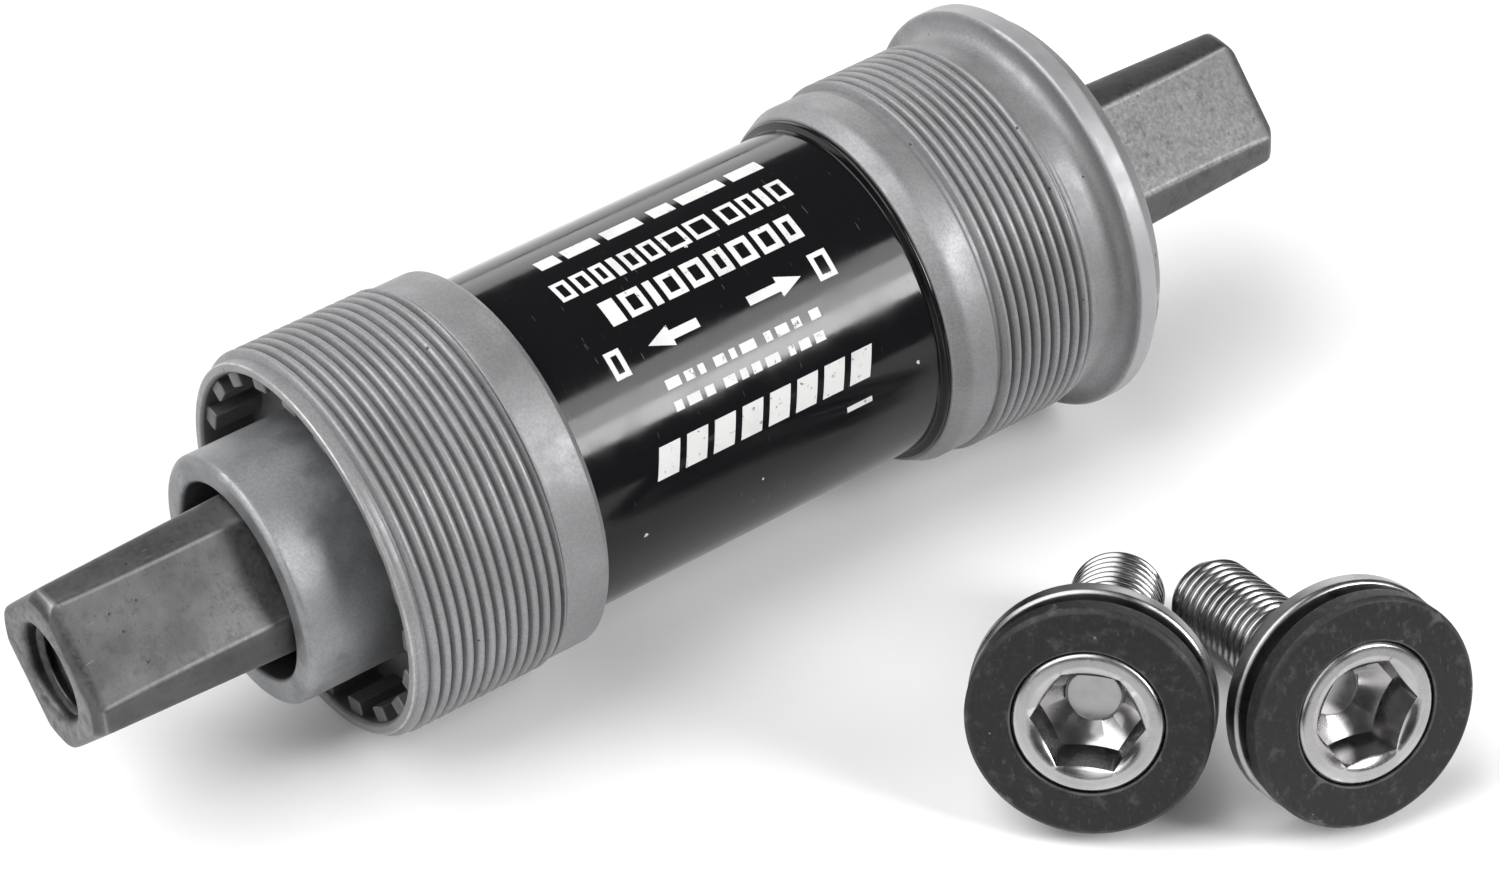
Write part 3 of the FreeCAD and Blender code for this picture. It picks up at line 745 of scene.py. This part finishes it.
class BuildDriveCup(bpy.types.Operator):
    """Drive cup: left-hand frame thread, filleted flange and splined socket"""

    bl_idname = "bracket.drive_cup"
    bl_label = "Drive Cup"

    def execute(self, context):
        sizes = context.scene.bracket_threads
        ease = sizes.edge_ease / MM
        bore = TUBE_R + 0.01
        fillet = 1.5
        flange_back = SEAT_FACE - FLANGE_THICKNESS
        web_outer = BOSS_FACE + SOCKET_DEPTH
        web_inner = web_outer + WEB_THICKNESS
        outline = [(NOSE_FACE, bore), (NOSE_FACE, NOSE_R - 0.7), (NOSE_FACE - 1.5, NOSE_R)]
        outline += [(DRIVE_THREAD_END + 0.2, NOSE_R), (DRIVE_THREAD_END, ROOT_R)]
        outline += [(SEAT_FACE + fillet, ROOT_R)]
        outline += arc((SEAT_FACE + fillet, ROOT_R + fillet), fillet, -112.5, -180, 4)
        outline += [(SEAT_FACE, FLANGE_R - 0.25), (SEAT_FACE - 0.25, FLANGE_R)]
        outline += [(flange_back + 0.25, FLANGE_R), (flange_back, FLANGE_R - 0.25)]
        outline += [(flange_back, 18.05), (BOSS_FACE, 17.3), (BOSS_FACE, SOCKET_ROOT_R)]
        outline += [(web_outer, SOCKET_ROOT_R), (web_outer, POCKET_R), (web_inner, POCKET_R)]
        outline += [(web_inner, bore)]
        bm = lathe(outline, sizes.turn_steps, ease)
        socket_teeth(bm, BOSS_FACE + TOOTH_RECESS, web_outer + 0.3, ease)
        limits = [(-33.45, ROOT_R - 0.1), (-33.2, CREST_R), (-23.1, CREST_R), (-22.6, NOSE_R),
                  (-22.4, ROOT_R - 0.1)]
        thread_ridge(bm, frame_thread_section(), DRIVE_THREAD_END, 10, sizes.pitch / MM, -1,
                     sizes.thread_steps, limits)
        finish_piece(bm, "drive_cup_threaded", "cartridge", ["drive_cup"],
                     ["cup_steel_blasted"])
        return {"FINISHED"}


class BuildTube(bpy.types.Operator):
    """Painted tube with its bead against the drive cup"""

    bl_idname = "bracket.tube"
    bl_label = "Cartridge Tube"

    def execute(self, context):
        sizes = context.scene.bracket_threads
        outline = [(TUBE_LEFT, TUBE_BORE_R), (TUBE_LEFT, TUBE_R - 0.25), (TUBE_LEFT - 0.25, TUBE_R)]
        outline += [(NOSE_FACE + 0.55, TUBE_R), (NOSE_FACE + 0.40, BEAD_R - 0.15)]
        outline += [(NOSE_FACE, BEAD_R - 0.10), (NOSE_FACE, TUBE_R)]
        outline += [(TUBE_RIGHT, TUBE_R), (TUBE_RIGHT, TUBE_BORE_R)]
        bm = lathe(outline, sizes.turn_steps, sizes.edge_ease / MM)
        finish_piece(bm, "cartridge_tube_painted", "cartridge", ["cartridge_tube"],
                     ["tube_paint_gloss"])
        return {"FINISHED"}


PRINT_LIFT = 0.03
BOLD_BARS = ((9.4, 2.0), (6.2, 3.2), (2.0, 3.6), (-2.0, 2.2), (-6.0, 4.4), (-10.6, 3.2))
BLOCK_ROWS = (  # widths, height, start of the row, angle on the tube, gap, stroke
    ((1.5, 1.5, 1.3, 0.7, 1.5, 1.5, 2.3, 2.3, 0, 1.8, 1.4, 0.7, 1.6), 2.3, 11.3, 6.4, 0.44, 0.40),
    ((1.4, 2.0, 0.7, 2.0, 2.0, 1.7, 2.0, 2.0, 1.6), 2.5, 9.1, 21.3, 0.5, 0.52),
    ((1.5,), 2.5, 11.35, 37.4, 0, 0.45),
    ((1.8,), 2.5, -9.3, 36.9, 0, 0.45),
)
SMALL_ROWS = (
    ((1.4, 0.9, 0.6, 0, 1.1, 0.6, 1.5, 0, 0.7, 1.2, 0.8, 0, 1.0), 0.85, 7.6, 49.8, 0.48),
    ((0.8, 1.3, 0.9, 0, 1.2, 0.7, 0.9, 1.4, 0, 0.6, 1.1, 1.0), 0.85, 7.6, 57.0, 0.48),
)


def wrap_on_tube(bm, run, angle_deg):
    """Bends flat marks, drawn in mm with their thickness along Z, round the tube."""
    low = min(v.co.z for v in bm.verts)
    high = max(v.co.z for v in bm.verts)
    for vert in bm.verts:
        angle = math.radians(angle_deg) - vert.co.y / TUBE_R
        radius = TUBE_R + (PRINT_LIFT if vert.co.z > (low + high) / 2 else -PRINT_LIFT)
        vert.co = (-radius * math.sin(angle), run - vert.co.x, radius * math.cos(angle))


def cut_across(bm, step=0.45):
    """Cuts marks into strips, so that they bend smoothly."""
    low = min(v.co.y for v in bm.verts)
    high = max(v.co.y for v in bm.verts)
    for number in range(1, int((high - low) / step) + 1):
        bmesh.ops.bisect_plane(bm, geom=bm.verts[:] + bm.edges[:] + bm.faces[:], dist=1e-5,
                               plane_co=(0, low + number * step, 0), plane_no=(0, 1, 0))


def flat_shape(points):
    """A flat mark from its outline in mm."""
    bm = bmesh.new()
    face = bm.faces.new([bm.verts.new((x, y, 0)) for x, y in points])
    top = bmesh.ops.extrude_face_region(bm, geom=[face])["geom"]
    bmesh.ops.translate(bm, vec=(0, 0, 0.04), verts=only(bmesh.types.BMVert, top))
    return bm


def bar(width, height, slant=0.0):
    """A printed bar; its upper end leans over by the slant."""
    half = height / 2
    return flat_shape([(-width / 2 - slant, -half), (width / 2 - slant, -half),
                       (width / 2 + slant, half), (-width / 2 + slant, half)])


def arrow(length, way):
    """A printed arrow; way is 1 when it points to the drive side."""
    tip, neck, tail = length / 2, length / 2 - 2.3, -length / 2
    points = [(tail, -0.42), (neck, -0.42), (neck, -0.95), (tip, 0),
              (neck, 0.95), (neck, 0.42), (tail, 0.42)]
    return flat_shape([(way * x, y) for x, y in points][::way])


def hollow_block(width, height, run, angle, stroke):
    """A printed block of four strokes, each with its place on the tube."""
    up = math.degrees((height - stroke) / 2 / TUBE_R)
    out = (width - stroke) / 2
    marks = [(bar(width, stroke), run, angle + turn) for turn in (-up, up)]
    return marks + [(bar(stroke, height - 2 * stroke), run + way, angle) for way in (-out, out)]


def block_row(widths, height, start, angle, gap, stroke=0.0):
    """Printed blocks in a row towards the drive side; a width of 0 is a space."""
    marks = []
    run = start
    for width in widths:
        middle = run - width / 2
        if stroke and width > 3 * stroke:
            marks += hollow_block(width, height, middle, angle, stroke)
        elif width:
            marks.append((bar(width, height), middle, angle))
        run -= width + gap
    return marks


class BuildTubePrint(bpy.types.Operator):
    """Printed side arrows and plain blocks on the tube"""

    bl_idname = "bracket.tube_print"
    bl_label = "Tube Print"

    def execute(self, context):
        marks = [(bar(width, 1.5), run, -9.0) for run, width in BOLD_BARS]
        for row in BLOCK_ROWS:
            marks += block_row(*row)
        marks += [(arrow(5.0, -1), 4.9, 36.3), (arrow(5.4, 1), -5.2, 37.3)]
        for row in SMALL_ROWS:
            marks += block_row(*row)
        marks += [(bar(2.1, 2.7, 0.45), 9.6 - 2.8 * number, 71.5) for number in range(8)]
        marks.append((bar(2.6, 0.5), -9.2, 84.5))
        joined = bmesh.new()
        for flat, run, angle in marks:
            cut_across(flat)
            wrap_on_tube(flat, run, angle)
            carrier = bpy.data.meshes.new("mark")
            flat.to_mesh(carrier)
            flat.free()
            joined.from_mesh(carrier)
            bpy.data.meshes.remove(carrier)
        finish_piece(joined, "tube_print_marks", "cartridge", [], ["tube_print_white"])
        return {"FINISHED"}


class BuildSleeve(bpy.types.Operator):
    """Steel sleeve that carries the left bearing and stands out round the axle"""

    bl_idname = "bracket.sleeve"
    bl_label = "Left Sleeve"

    def execute(self, context):
        sizes = context.scene.bracket_threads
        bore = AXLE_R + 0.25
        shoulder = 29.0
        outline = [(SLEEVE_MOUTH, bore + 0.25), (SLEEVE_MOUTH, SLEEVE_R - 0.4)]
        outline += [(SLEEVE_MOUTH - 0.4, SLEEVE_R), (shoulder, SLEEVE_R), (shoulder, SHOULDER_R)]
        outline += [(SLEEVE_INNER, SHOULDER_R), (SLEEVE_INNER, POCKET_R), (POCKET_END, POCKET_R)]
        outline += [(POCKET_END, bore), (SLEEVE_MOUTH - 0.25, bore)]
        bm = lathe(outline, sizes.turn_steps, sizes.edge_ease / MM)
        finish_piece(bm, "left_sleeve_turned", "cartridge", ["left_sleeve"],
                     ["sleeve_steel_turned"])
        return {"FINISHED"}


class BuildSeal(bpy.types.Operator):
    """Rubber lip seal in the drive cup"""

    bl_idname = "bracket.seal"
    bl_label = "Drive Seal"

    def execute(self, context):
        lip = AXLE_R + 0.08
        body = POCKET_R - 0.01
        web = BOSS_FACE + SOCKET_DEPTH - 0.01
        outline = [(SEAL_INNER, lip + 0.3), (SEAL_INNER, body), (web, body), (web, SEAL_LIP_R - 0.15)]
        outline += [(web - 0.15, SEAL_LIP_R), (SEAL_OUTER + 0.35, body + 0.35), (SEAL_OUTER, body - 0.15)]
        outline += [(SEAL_OUTER, lip + 0.75), (SEAL_OUTER + 0.45, lip + 0.55)]
        outline += [(SEAL_OUTER + 0.30, lip + 0.12), (SEAL_OUTER + 0.50, lip), (SEAL_OUTER + 0.85, lip)]
        bm = lathe(outline, context.scene.bracket_threads.turn_steps, 0.07, least_angle=20)
        finish_piece(bm, "drive_seal_rubber", "cartridge", ["drive_seal"],
                     ["seal_rubber_black"])
        return {"FINISHED"}


def square_loop(bm, run, flat_half, corner_r):
    """One section of the axle's end: four flats, eased into the turned corners."""
    turn = math.acos(flat_half / corner_r)
    half = flat_half * math.tan(turn)
    ease = 0.22
    points = []
    for quarter in range(4):
        base = -AXLE_CLOCK + quarter * math.pi / 2
        for share in (-1, -0.5, 0, 0.5, 1):
            points.append((base, flat_half, (half - ease) * share))
        inner = corner_r * (1 - 0.006)
        points.append((base, inner * math.cos(turn + 0.002), inner * math.sin(turn + 0.002)))
        first = turn + ease / corner_r
        last = math.pi / 2 - first
        for number in range(9):
            angle = first + (last - first) * number / 8
            points.append((base, corner_r * math.cos(angle), corner_r * math.sin(angle)))
        angle = math.pi / 2 - turn - 0.002
        points.append((base, inner * math.cos(angle), inner * math.sin(angle)))
    verts = []
    for base, outward, sideways in points:
        x = outward * math.sin(base) + sideways * math.cos(base)
        z = outward * math.cos(base) - sideways * math.sin(base)
        verts.append(bm.verts.new((x, run, z)))
    return [bm.edges.new(pair) for pair in zip(verts, verts[1:] + verts[:1])]


def join_loops(bm, loops):
    """Bridges each loop to the next, and closes the last."""
    for first, second in zip(loops, loops[1:]):
        bmesh.ops.bridge_loops(bm, edges=first + second)
    bmesh.ops.contextual_create(bm, geom=loops[-1])


def ring_loop(bm, run, radius):
    """One round section of the tapped hole."""
    made = bmesh.ops.create_circle(bm, segments=72, radius=radius, cap_ends=False)["verts"]
    bmesh.ops.rotate(bm, cent=(0, 0, 0), matrix=Matrix.Rotation(math.pi / 2, 3, "X"), verts=made)
    bmesh.ops.translate(bm, vec=(0, run, 0), verts=made)
    return list({e for v in made for e in v.link_edges})


TIP_SECTIONS = [(0.0, 0.62, 1.05), (0.10, 0.40, 0.84), (0.32, 0.20, 0.55), (0.62, 0.08, 0.22),
                (0.95, 0.02, 0.05), (1.3, 0, 0)]  # depth, and how far flats and corners are drawn in


def tapered_end(bm, end, root, way):
    """Square taper with its tapped and countersunk hole; way is 1 at the left end."""
    length = abs(end - root)
    plain = [(length * share, 0, 0) for share in (0.35, 0.7, 1)]
    loops = []
    for depth, flat_pull, corner_pull in TIP_SECTIONS + plain:
        corner_r = AXLE_CORNER_R + CORNER_GROWTH * depth / length - corner_pull
        loops.append(square_loop(bm, end - way * depth, SQUARE_HALF + depth * TAPER - flat_pull, corner_r))
    join_loops(bm, loops)
    bore_r = TAPPED_R + 0.56
    sink = COUNTERSINK_R - bore_r
    holes = [ring_loop(bm, end, COUNTERSINK_R), ring_loop(bm, end - way * sink, bore_r),
             ring_loop(bm, end - way * TAPPED_DEPTH, bore_r)]
    bmesh.ops.bridge_loops(bm, edges=loops[0] + holes[0])
    join_loops(bm, holes)
    mouth = sorted([(end - way * (COUNTERSINK_R - TAPPED_R), TAPPED_R), (end, COUNTERSINK_R)])
    start = end - 0.9 if way > 0 else end + 14.9
    thread_ridge(bm, bolt_thread_section(bore_r, TAPPED_R), start, 14, BOLT_PITCH, 1, 40, mouth,
                 inside=True)


class BuildAxle(bpy.types.Operator):
    """Axle: round middle with clip grooves, square tapers and tapped ends"""

    bl_idname = "bracket.axle"
    bl_label = "Axle"

    def execute(self, context):
        sizes = context.scene.bracket_threads
        groove_r = AXLE_R - CLIP_GROOVE_DEPTH
        left_end = LEFT_TAPER_ROOT + 0.65
        drive_end = DRIVE_TAPER_ROOT - 0.65
        outline = [(left_end, 0), (left_end, AXLE_CORNER_R), (left_end - 0.6, AXLE_R)]
        for outer in (28.05, -31.85):
            outline += [(outer, AXLE_R), (outer, groove_r), (outer - 1.0, groove_r), (outer - 1.0, AXLE_R)]
        outline += [(drive_end + 0.6, AXLE_R), (drive_end, AXLE_CORNER_R), (drive_end, 0)]
        bm = lathe(outline, sizes.turn_steps, closed=False)
        tapered_end(bm, AXLE_LEFT, LEFT_TAPER_ROOT, 1)
        tapered_end(bm, AXLE_RIGHT, DRIVE_TAPER_ROOT, -1)
        finish_piece(bm, "axle_square_taper", "axle", ["axle"], ["axle_steel_hardened"],
                     crease=50)
        return {"FINISHED"}


def hex_socket(bm, mouth):
    """Carries the mouth's edges down into a chamfered hexagon with a sloping floor and a pip."""
    def carry(edges, place):
        geom = bmesh.ops.extrude_edge_only(bm, edges=edges)["geom"]
        for vert in only(bmesh.types.BMVert, geom):
            angle = math.atan2(vert.co.z, vert.co.x)
            radius, depth = place(angle)
            vert.co = (radius * math.cos(angle), depth, radius * math.sin(angle))
        return only(bmesh.types.BMEdge, geom)

    def hex_r(angle, inset=0.0):
        off = (angle + math.pi / 6) % (math.pi / 3) - math.pi / 6
        return (HEX_FLAT_R - inset) / math.cos(math.pi / 6 - abs(off))

    def top(angle):
        return hex_r(angle, -0.04), 0.03 + 0.7 * (HEX_CORNER_R - hex_r(angle))

    def below_top(angle):
        return hex_r(angle), 0.09 + 0.7 * (HEX_CORNER_R - hex_r(angle))

    def floor_edge(angle):
        return hex_r(angle), HEX_DEPTH + (HEX_CORNER_R - hex_r(angle)) * HEX_FLOOR_SLOPE

    bottom = HEX_DEPTH + (HEX_CORNER_R - PIP_R) * HEX_FLOOR_SLOPE
    loop = mouth
    for place in (top, below_top, floor_edge, lambda angle: (PIP_R + 0.1, bottom - 0.06),
                  lambda angle: (PIP_R, bottom - 0.05), lambda angle: (PIP_R - 0.06, bottom - PIP_HEIGHT),
                  lambda angle: (PIP_R - 0.2, bottom - PIP_HEIGHT - 0.03)):
        loop = carry(loop, place)
    bmesh.ops.contextual_create(bm, geom=loop)


def bolt_places():
    """Each bolt's placement in the row frame, from the axes and anchors of the rings' joints."""
    places = {}
    for joint in frame["joints"]:
        if not joint["name"].endswith("_bolt_ring_spin"):
            continue
        side = joint["name"].split("_")[0]
        along = Vector(joint["axis"]).normalized()
        across = along.cross(FLOOR_NORMAL).normalized()
        up = across.cross(along)
        turn = Matrix((across, along, up)).transposed().to_4x4()
        places[side] = Matrix.Translation(Vector(joint["pos_m"])) @ turn
    return places


class BuildCrankBolts(bpy.types.Operator):
    """Both crank bolts: plated head with hexagon socket, flange and metric thread"""

    bl_idname = "bracket.crank_bolts"
    bl_label = "Crank Bolts"

    def execute(self, context):
        flange_front, flange_back, flange_r = BOLT_FLANGE
        ease = 0.25
        outline = [(0, HEX_CORNER_R + 0.06), (0, BOLT_HEAD_R - 0.3), (0.3, BOLT_HEAD_R)]
        outline += [(flange_front, BOLT_HEAD_R), (flange_front, flange_r - ease)]
        outline += [(flange_front + ease, flange_r), (flange_back - ease, flange_r)]
        outline += [(flange_back, flange_r - ease), (flange_back, SHANK_R), (SHANK_END - 0.1, SHANK_R)]
        outline += [(SHANK_END + 0.1, BOLT_ROOT_R), (BOLT_LENGTH - ease, BOLT_ROOT_R)]
        outline += [(BOLT_LENGTH, BOLT_ROOT_R - ease), (BOLT_LENGTH, 0)]
        limits = [(SHANK_END - 0.3, BOLT_ROOT_R - 0.1), (SHANK_END, SHANK_R),
                  (SHANK_END + 0.3, BOLT_CREST_R), (BOLT_LENGTH - 0.54, BOLT_CREST_R),
                  (BOLT_LENGTH, BOLT_ROOT_R - 0.05)]
        for side, place in bolt_places().items():
            bm = lathe(outline, 96, 0.09, closed=False)
            hex_socket(bm, [e for e in bm.edges if e.is_boundary])
            thread_ridge(bm, bolt_thread_section(BOLT_ROOT_R, BOLT_CREST_R), BOLT_LENGTH - 0.55, 20,
                         BOLT_PITCH, 1, 56, limits)
            for face in bm.faces:
                middle = face.calc_center_median()
                radius = math.hypot(middle.x, middle.z)
                if middle.y > flange_back - 0.05 and radius < BOLT_CREST_R + 0.05:
                    face.material_index = 2
                elif middle.y > flange_front - 0.05 and radius > BOLT_HEAD_R:
                    face.material_index = 3
                elif radius < HEX_CORNER_R and middle.y > 0.1:
                    face.material_index = 1
            finish_piece(bm, f"{side}_crank_bolt_plated", f"{side}_crank_bolt",
                         [f"{side}_crank_bolt"],
                         ["bolt_face_plated", "bolt_socket_plated", "bolt_shank_plated",
                          "bolt_flange_plated"], place)
        return {"FINISHED"}


class BuildBoltRings(bpy.types.Operator):
    """Black plastic rings on the crank bolts' heads"""

    bl_idname = "bracket.bolt_rings"
    bl_label = "Bolt Rings"

    def execute(self, context):
        bore = BOLT_HEAD_R + 0.08
        waist = RING_THICKNESS * 0.66
        waist_r = RING_R - 1.5
        outline = [(0, bore + 0.1), (0, RING_R - 0.35), (0.35, RING_R), (waist - 0.15, RING_R)]
        outline += [(waist, RING_R - 0.15), (waist, waist_r), (RING_THICKNESS, waist_r)]
        outline += [(RING_THICKNESS, bore), (0.1, bore)]
        for side, place in bolt_places().items():
            finish_piece(lathe(outline, 128, 0.10), f"{side}_bolt_ring_plastic", f"{side}_bolt_ring",
                         [f"{side}_bolt_ring"], ["ring_plastic_black"], place)
        return {"FINISHED"}


class FinishInnerPieces(bpy.types.Operator):
    """Finishes for the bearings, seals, clips and spacer inside the unit"""

    bl_idname = "bracket.inner_pieces"
    bl_label = "Inner Pieces"

    def execute(self, context):
        finishes = {
            "_race": "bearing_steel_ground", "_shield": "bearing_steel_ground",
            "_balls": "ball_steel_polished", "_cage": "cage_nylon_moulded",
            "_clip": "clip_steel_blued", "_spacer": "spacer_steel_plain", "_seal": "seal_rubber_black",
        }
        for name, piece in frame["nodes"].items():
            found = [label for ending, label in finishes.items() if name.endswith(ending)]
            if found:
                piece.data.materials.clear()
                piece.data.materials.append(finish(found[0]))
            elif not piece.hide_render:
                raise RuntimeError(f"{name} is shown without a finish")
        return {"FINISHED"}


# ------------------------------------------------------------------ stage
def hang(name, data):
    """Puts a light or the camera in the scene."""
    holder = bpy.data.objects.new(name, data)
    bpy.context.scene.collection.objects.link(holder)
    return holder


def soft_light(name, direction, distance, width, height, power):
    """A flat softbox that faces the origin."""
    light = bpy.data.lights.new(name, "AREA")
    light.shape = "RECTANGLE"
    light.size = width
    light.size_y = height
    light.energy = power
    holder = hang(name, light)
    holder.location = Vector(direction).normalized() * distance
    holder.rotation_euler = (-holder.location).to_track_quat("-Z", "Y").to_euler()


class BuildStage(bpy.types.Operator):
    """White floor, soft studio lights and the camera"""

    bl_idname = "bracket.stage"
    bl_label = "Stage"

    def execute(self, context):
        settings = context.scene.bracket_stage
        bm = bmesh.new()
        bmesh.ops.create_grid(bm, x_segments=8, y_segments=8, size=SHEET_HALF)
        bmesh.ops.translate(bm, vec=(SHEET_HALF - SHEET_FRONT, 0, 0), verts=bm.verts[:])
        bm.transform(Matrix.Translation(FLOOR_POINT) @ Matrix.Rotation(FLOOR_TILT, 4, "X"))
        mesh = bpy.data.meshes.new("floor")
        bm.to_mesh(mesh)
        bm.free()
        floor = hang("floor", mesh)
        paper = Finish("floor_paper", (0.90, 0.90, 0.905), specular=0.2)
        paper.sockets["Roughness"].default_value = 0.85
        paper.lay(paper.noise(30.0), (0.94, 0.94, 0.94))
        paper.link(paper.tone, paper.sockets["Base Color"])
        mesh.materials.append(paper.material)
        for name, rise_deg, share in KEY_BOXES:
            rise = math.radians(rise_deg)
            towards = (*(along * math.cos(rise) for along in KEY_HEADING), math.sin(rise))
            soft_light(f"key_softbox_{name}", towards, 0.70, 0.24, 0.13, settings.key_power * share)
        for name, direction, distance, width, height, power in SOFTBOXES:
            soft_light(name, direction, distance, width, height, getattr(settings, power))
        world = bpy.data.worlds.new("room")
        world.use_nodes = True
        room = Nodes(world.node_tree)
        seen = room.put("ShaderNodeLightPath").outputs["Is Camera Ray"]
        light = room.tree.nodes["Background"].inputs
        light["Color"].default_value = (1, 1, 1, 1)
        room.link(room.between(seen, 0.0, 1.0, settings.surround, 1.0), light["Strength"])
        context.scene.world = world
        context.scene.view_settings.view_transform = "Standard"
        camera = bpy.data.cameras.new("camera")
        camera.sensor_width = 36.0
        camera.lens = settings.lens
        camera.clip_start = 0.02
        camera.clip_end = 20.0
        holder = hang("camera", camera)
        holder.location = CAMERA_PLACE
        holder.rotation_euler = Euler([math.radians(a) for a in CAMERA_TURN], "XYZ")
        context.scene.camera = holder
        return {"FINISHED"}


STEPS = (BuildLeftCup, BuildDriveCup, BuildTube, BuildTubePrint, BuildSleeve, BuildSeal, BuildAxle,
         BuildCrankBolts, BuildBoltRings, FinishInnerPieces, BuildStage)


class BracketPanel(bpy.types.Panel):
    """Sizes, colours and steps of the bottom bracket"""

    bl_idname = "VIEW3D_PT_bracket"
    bl_label = "Bottom Bracket"
    bl_space_type = "VIEW_3D"
    bl_region_type = "UI"
    bl_category = "Bracket"

    def draw(self, context):
        scene = context.scene
        for group in (scene.bracket_threads, scene.bracket_finish, scene.bracket_stage):
            column = self.layout.column(align=True)
            for name in group.__annotations__:
                column.prop(group, name)
        column = self.layout.column(align=True)
        for step in STEPS:
            column.operator(step.bl_idname)


SETTINGS = {"bracket_threads": ThreadSettings, "bracket_finish": FinishSettings,
            "bracket_stage": StageSettings}


def register():
    for cls in (*SETTINGS.values(), *STEPS, BracketPanel):
        bpy.utils.register_class(cls)
    for name, cls in SETTINGS.items():
        setattr(bpy.types.Scene, name, PointerProperty(type=cls))


def unregister():
    for name in SETTINGS:
        delattr(bpy.types.Scene, name)
    for cls in reversed((*SETTINGS.values(), *STEPS, BracketPanel)):
        bpy.utils.unregister_class(cls)


def main():
    register()
    for step in STEPS:
        getattr(bpy.ops.bracket, step.bl_idname.split(".")[1])()
    bpy.context.view_layer.update()


if __name__ == "__main__":
    main()
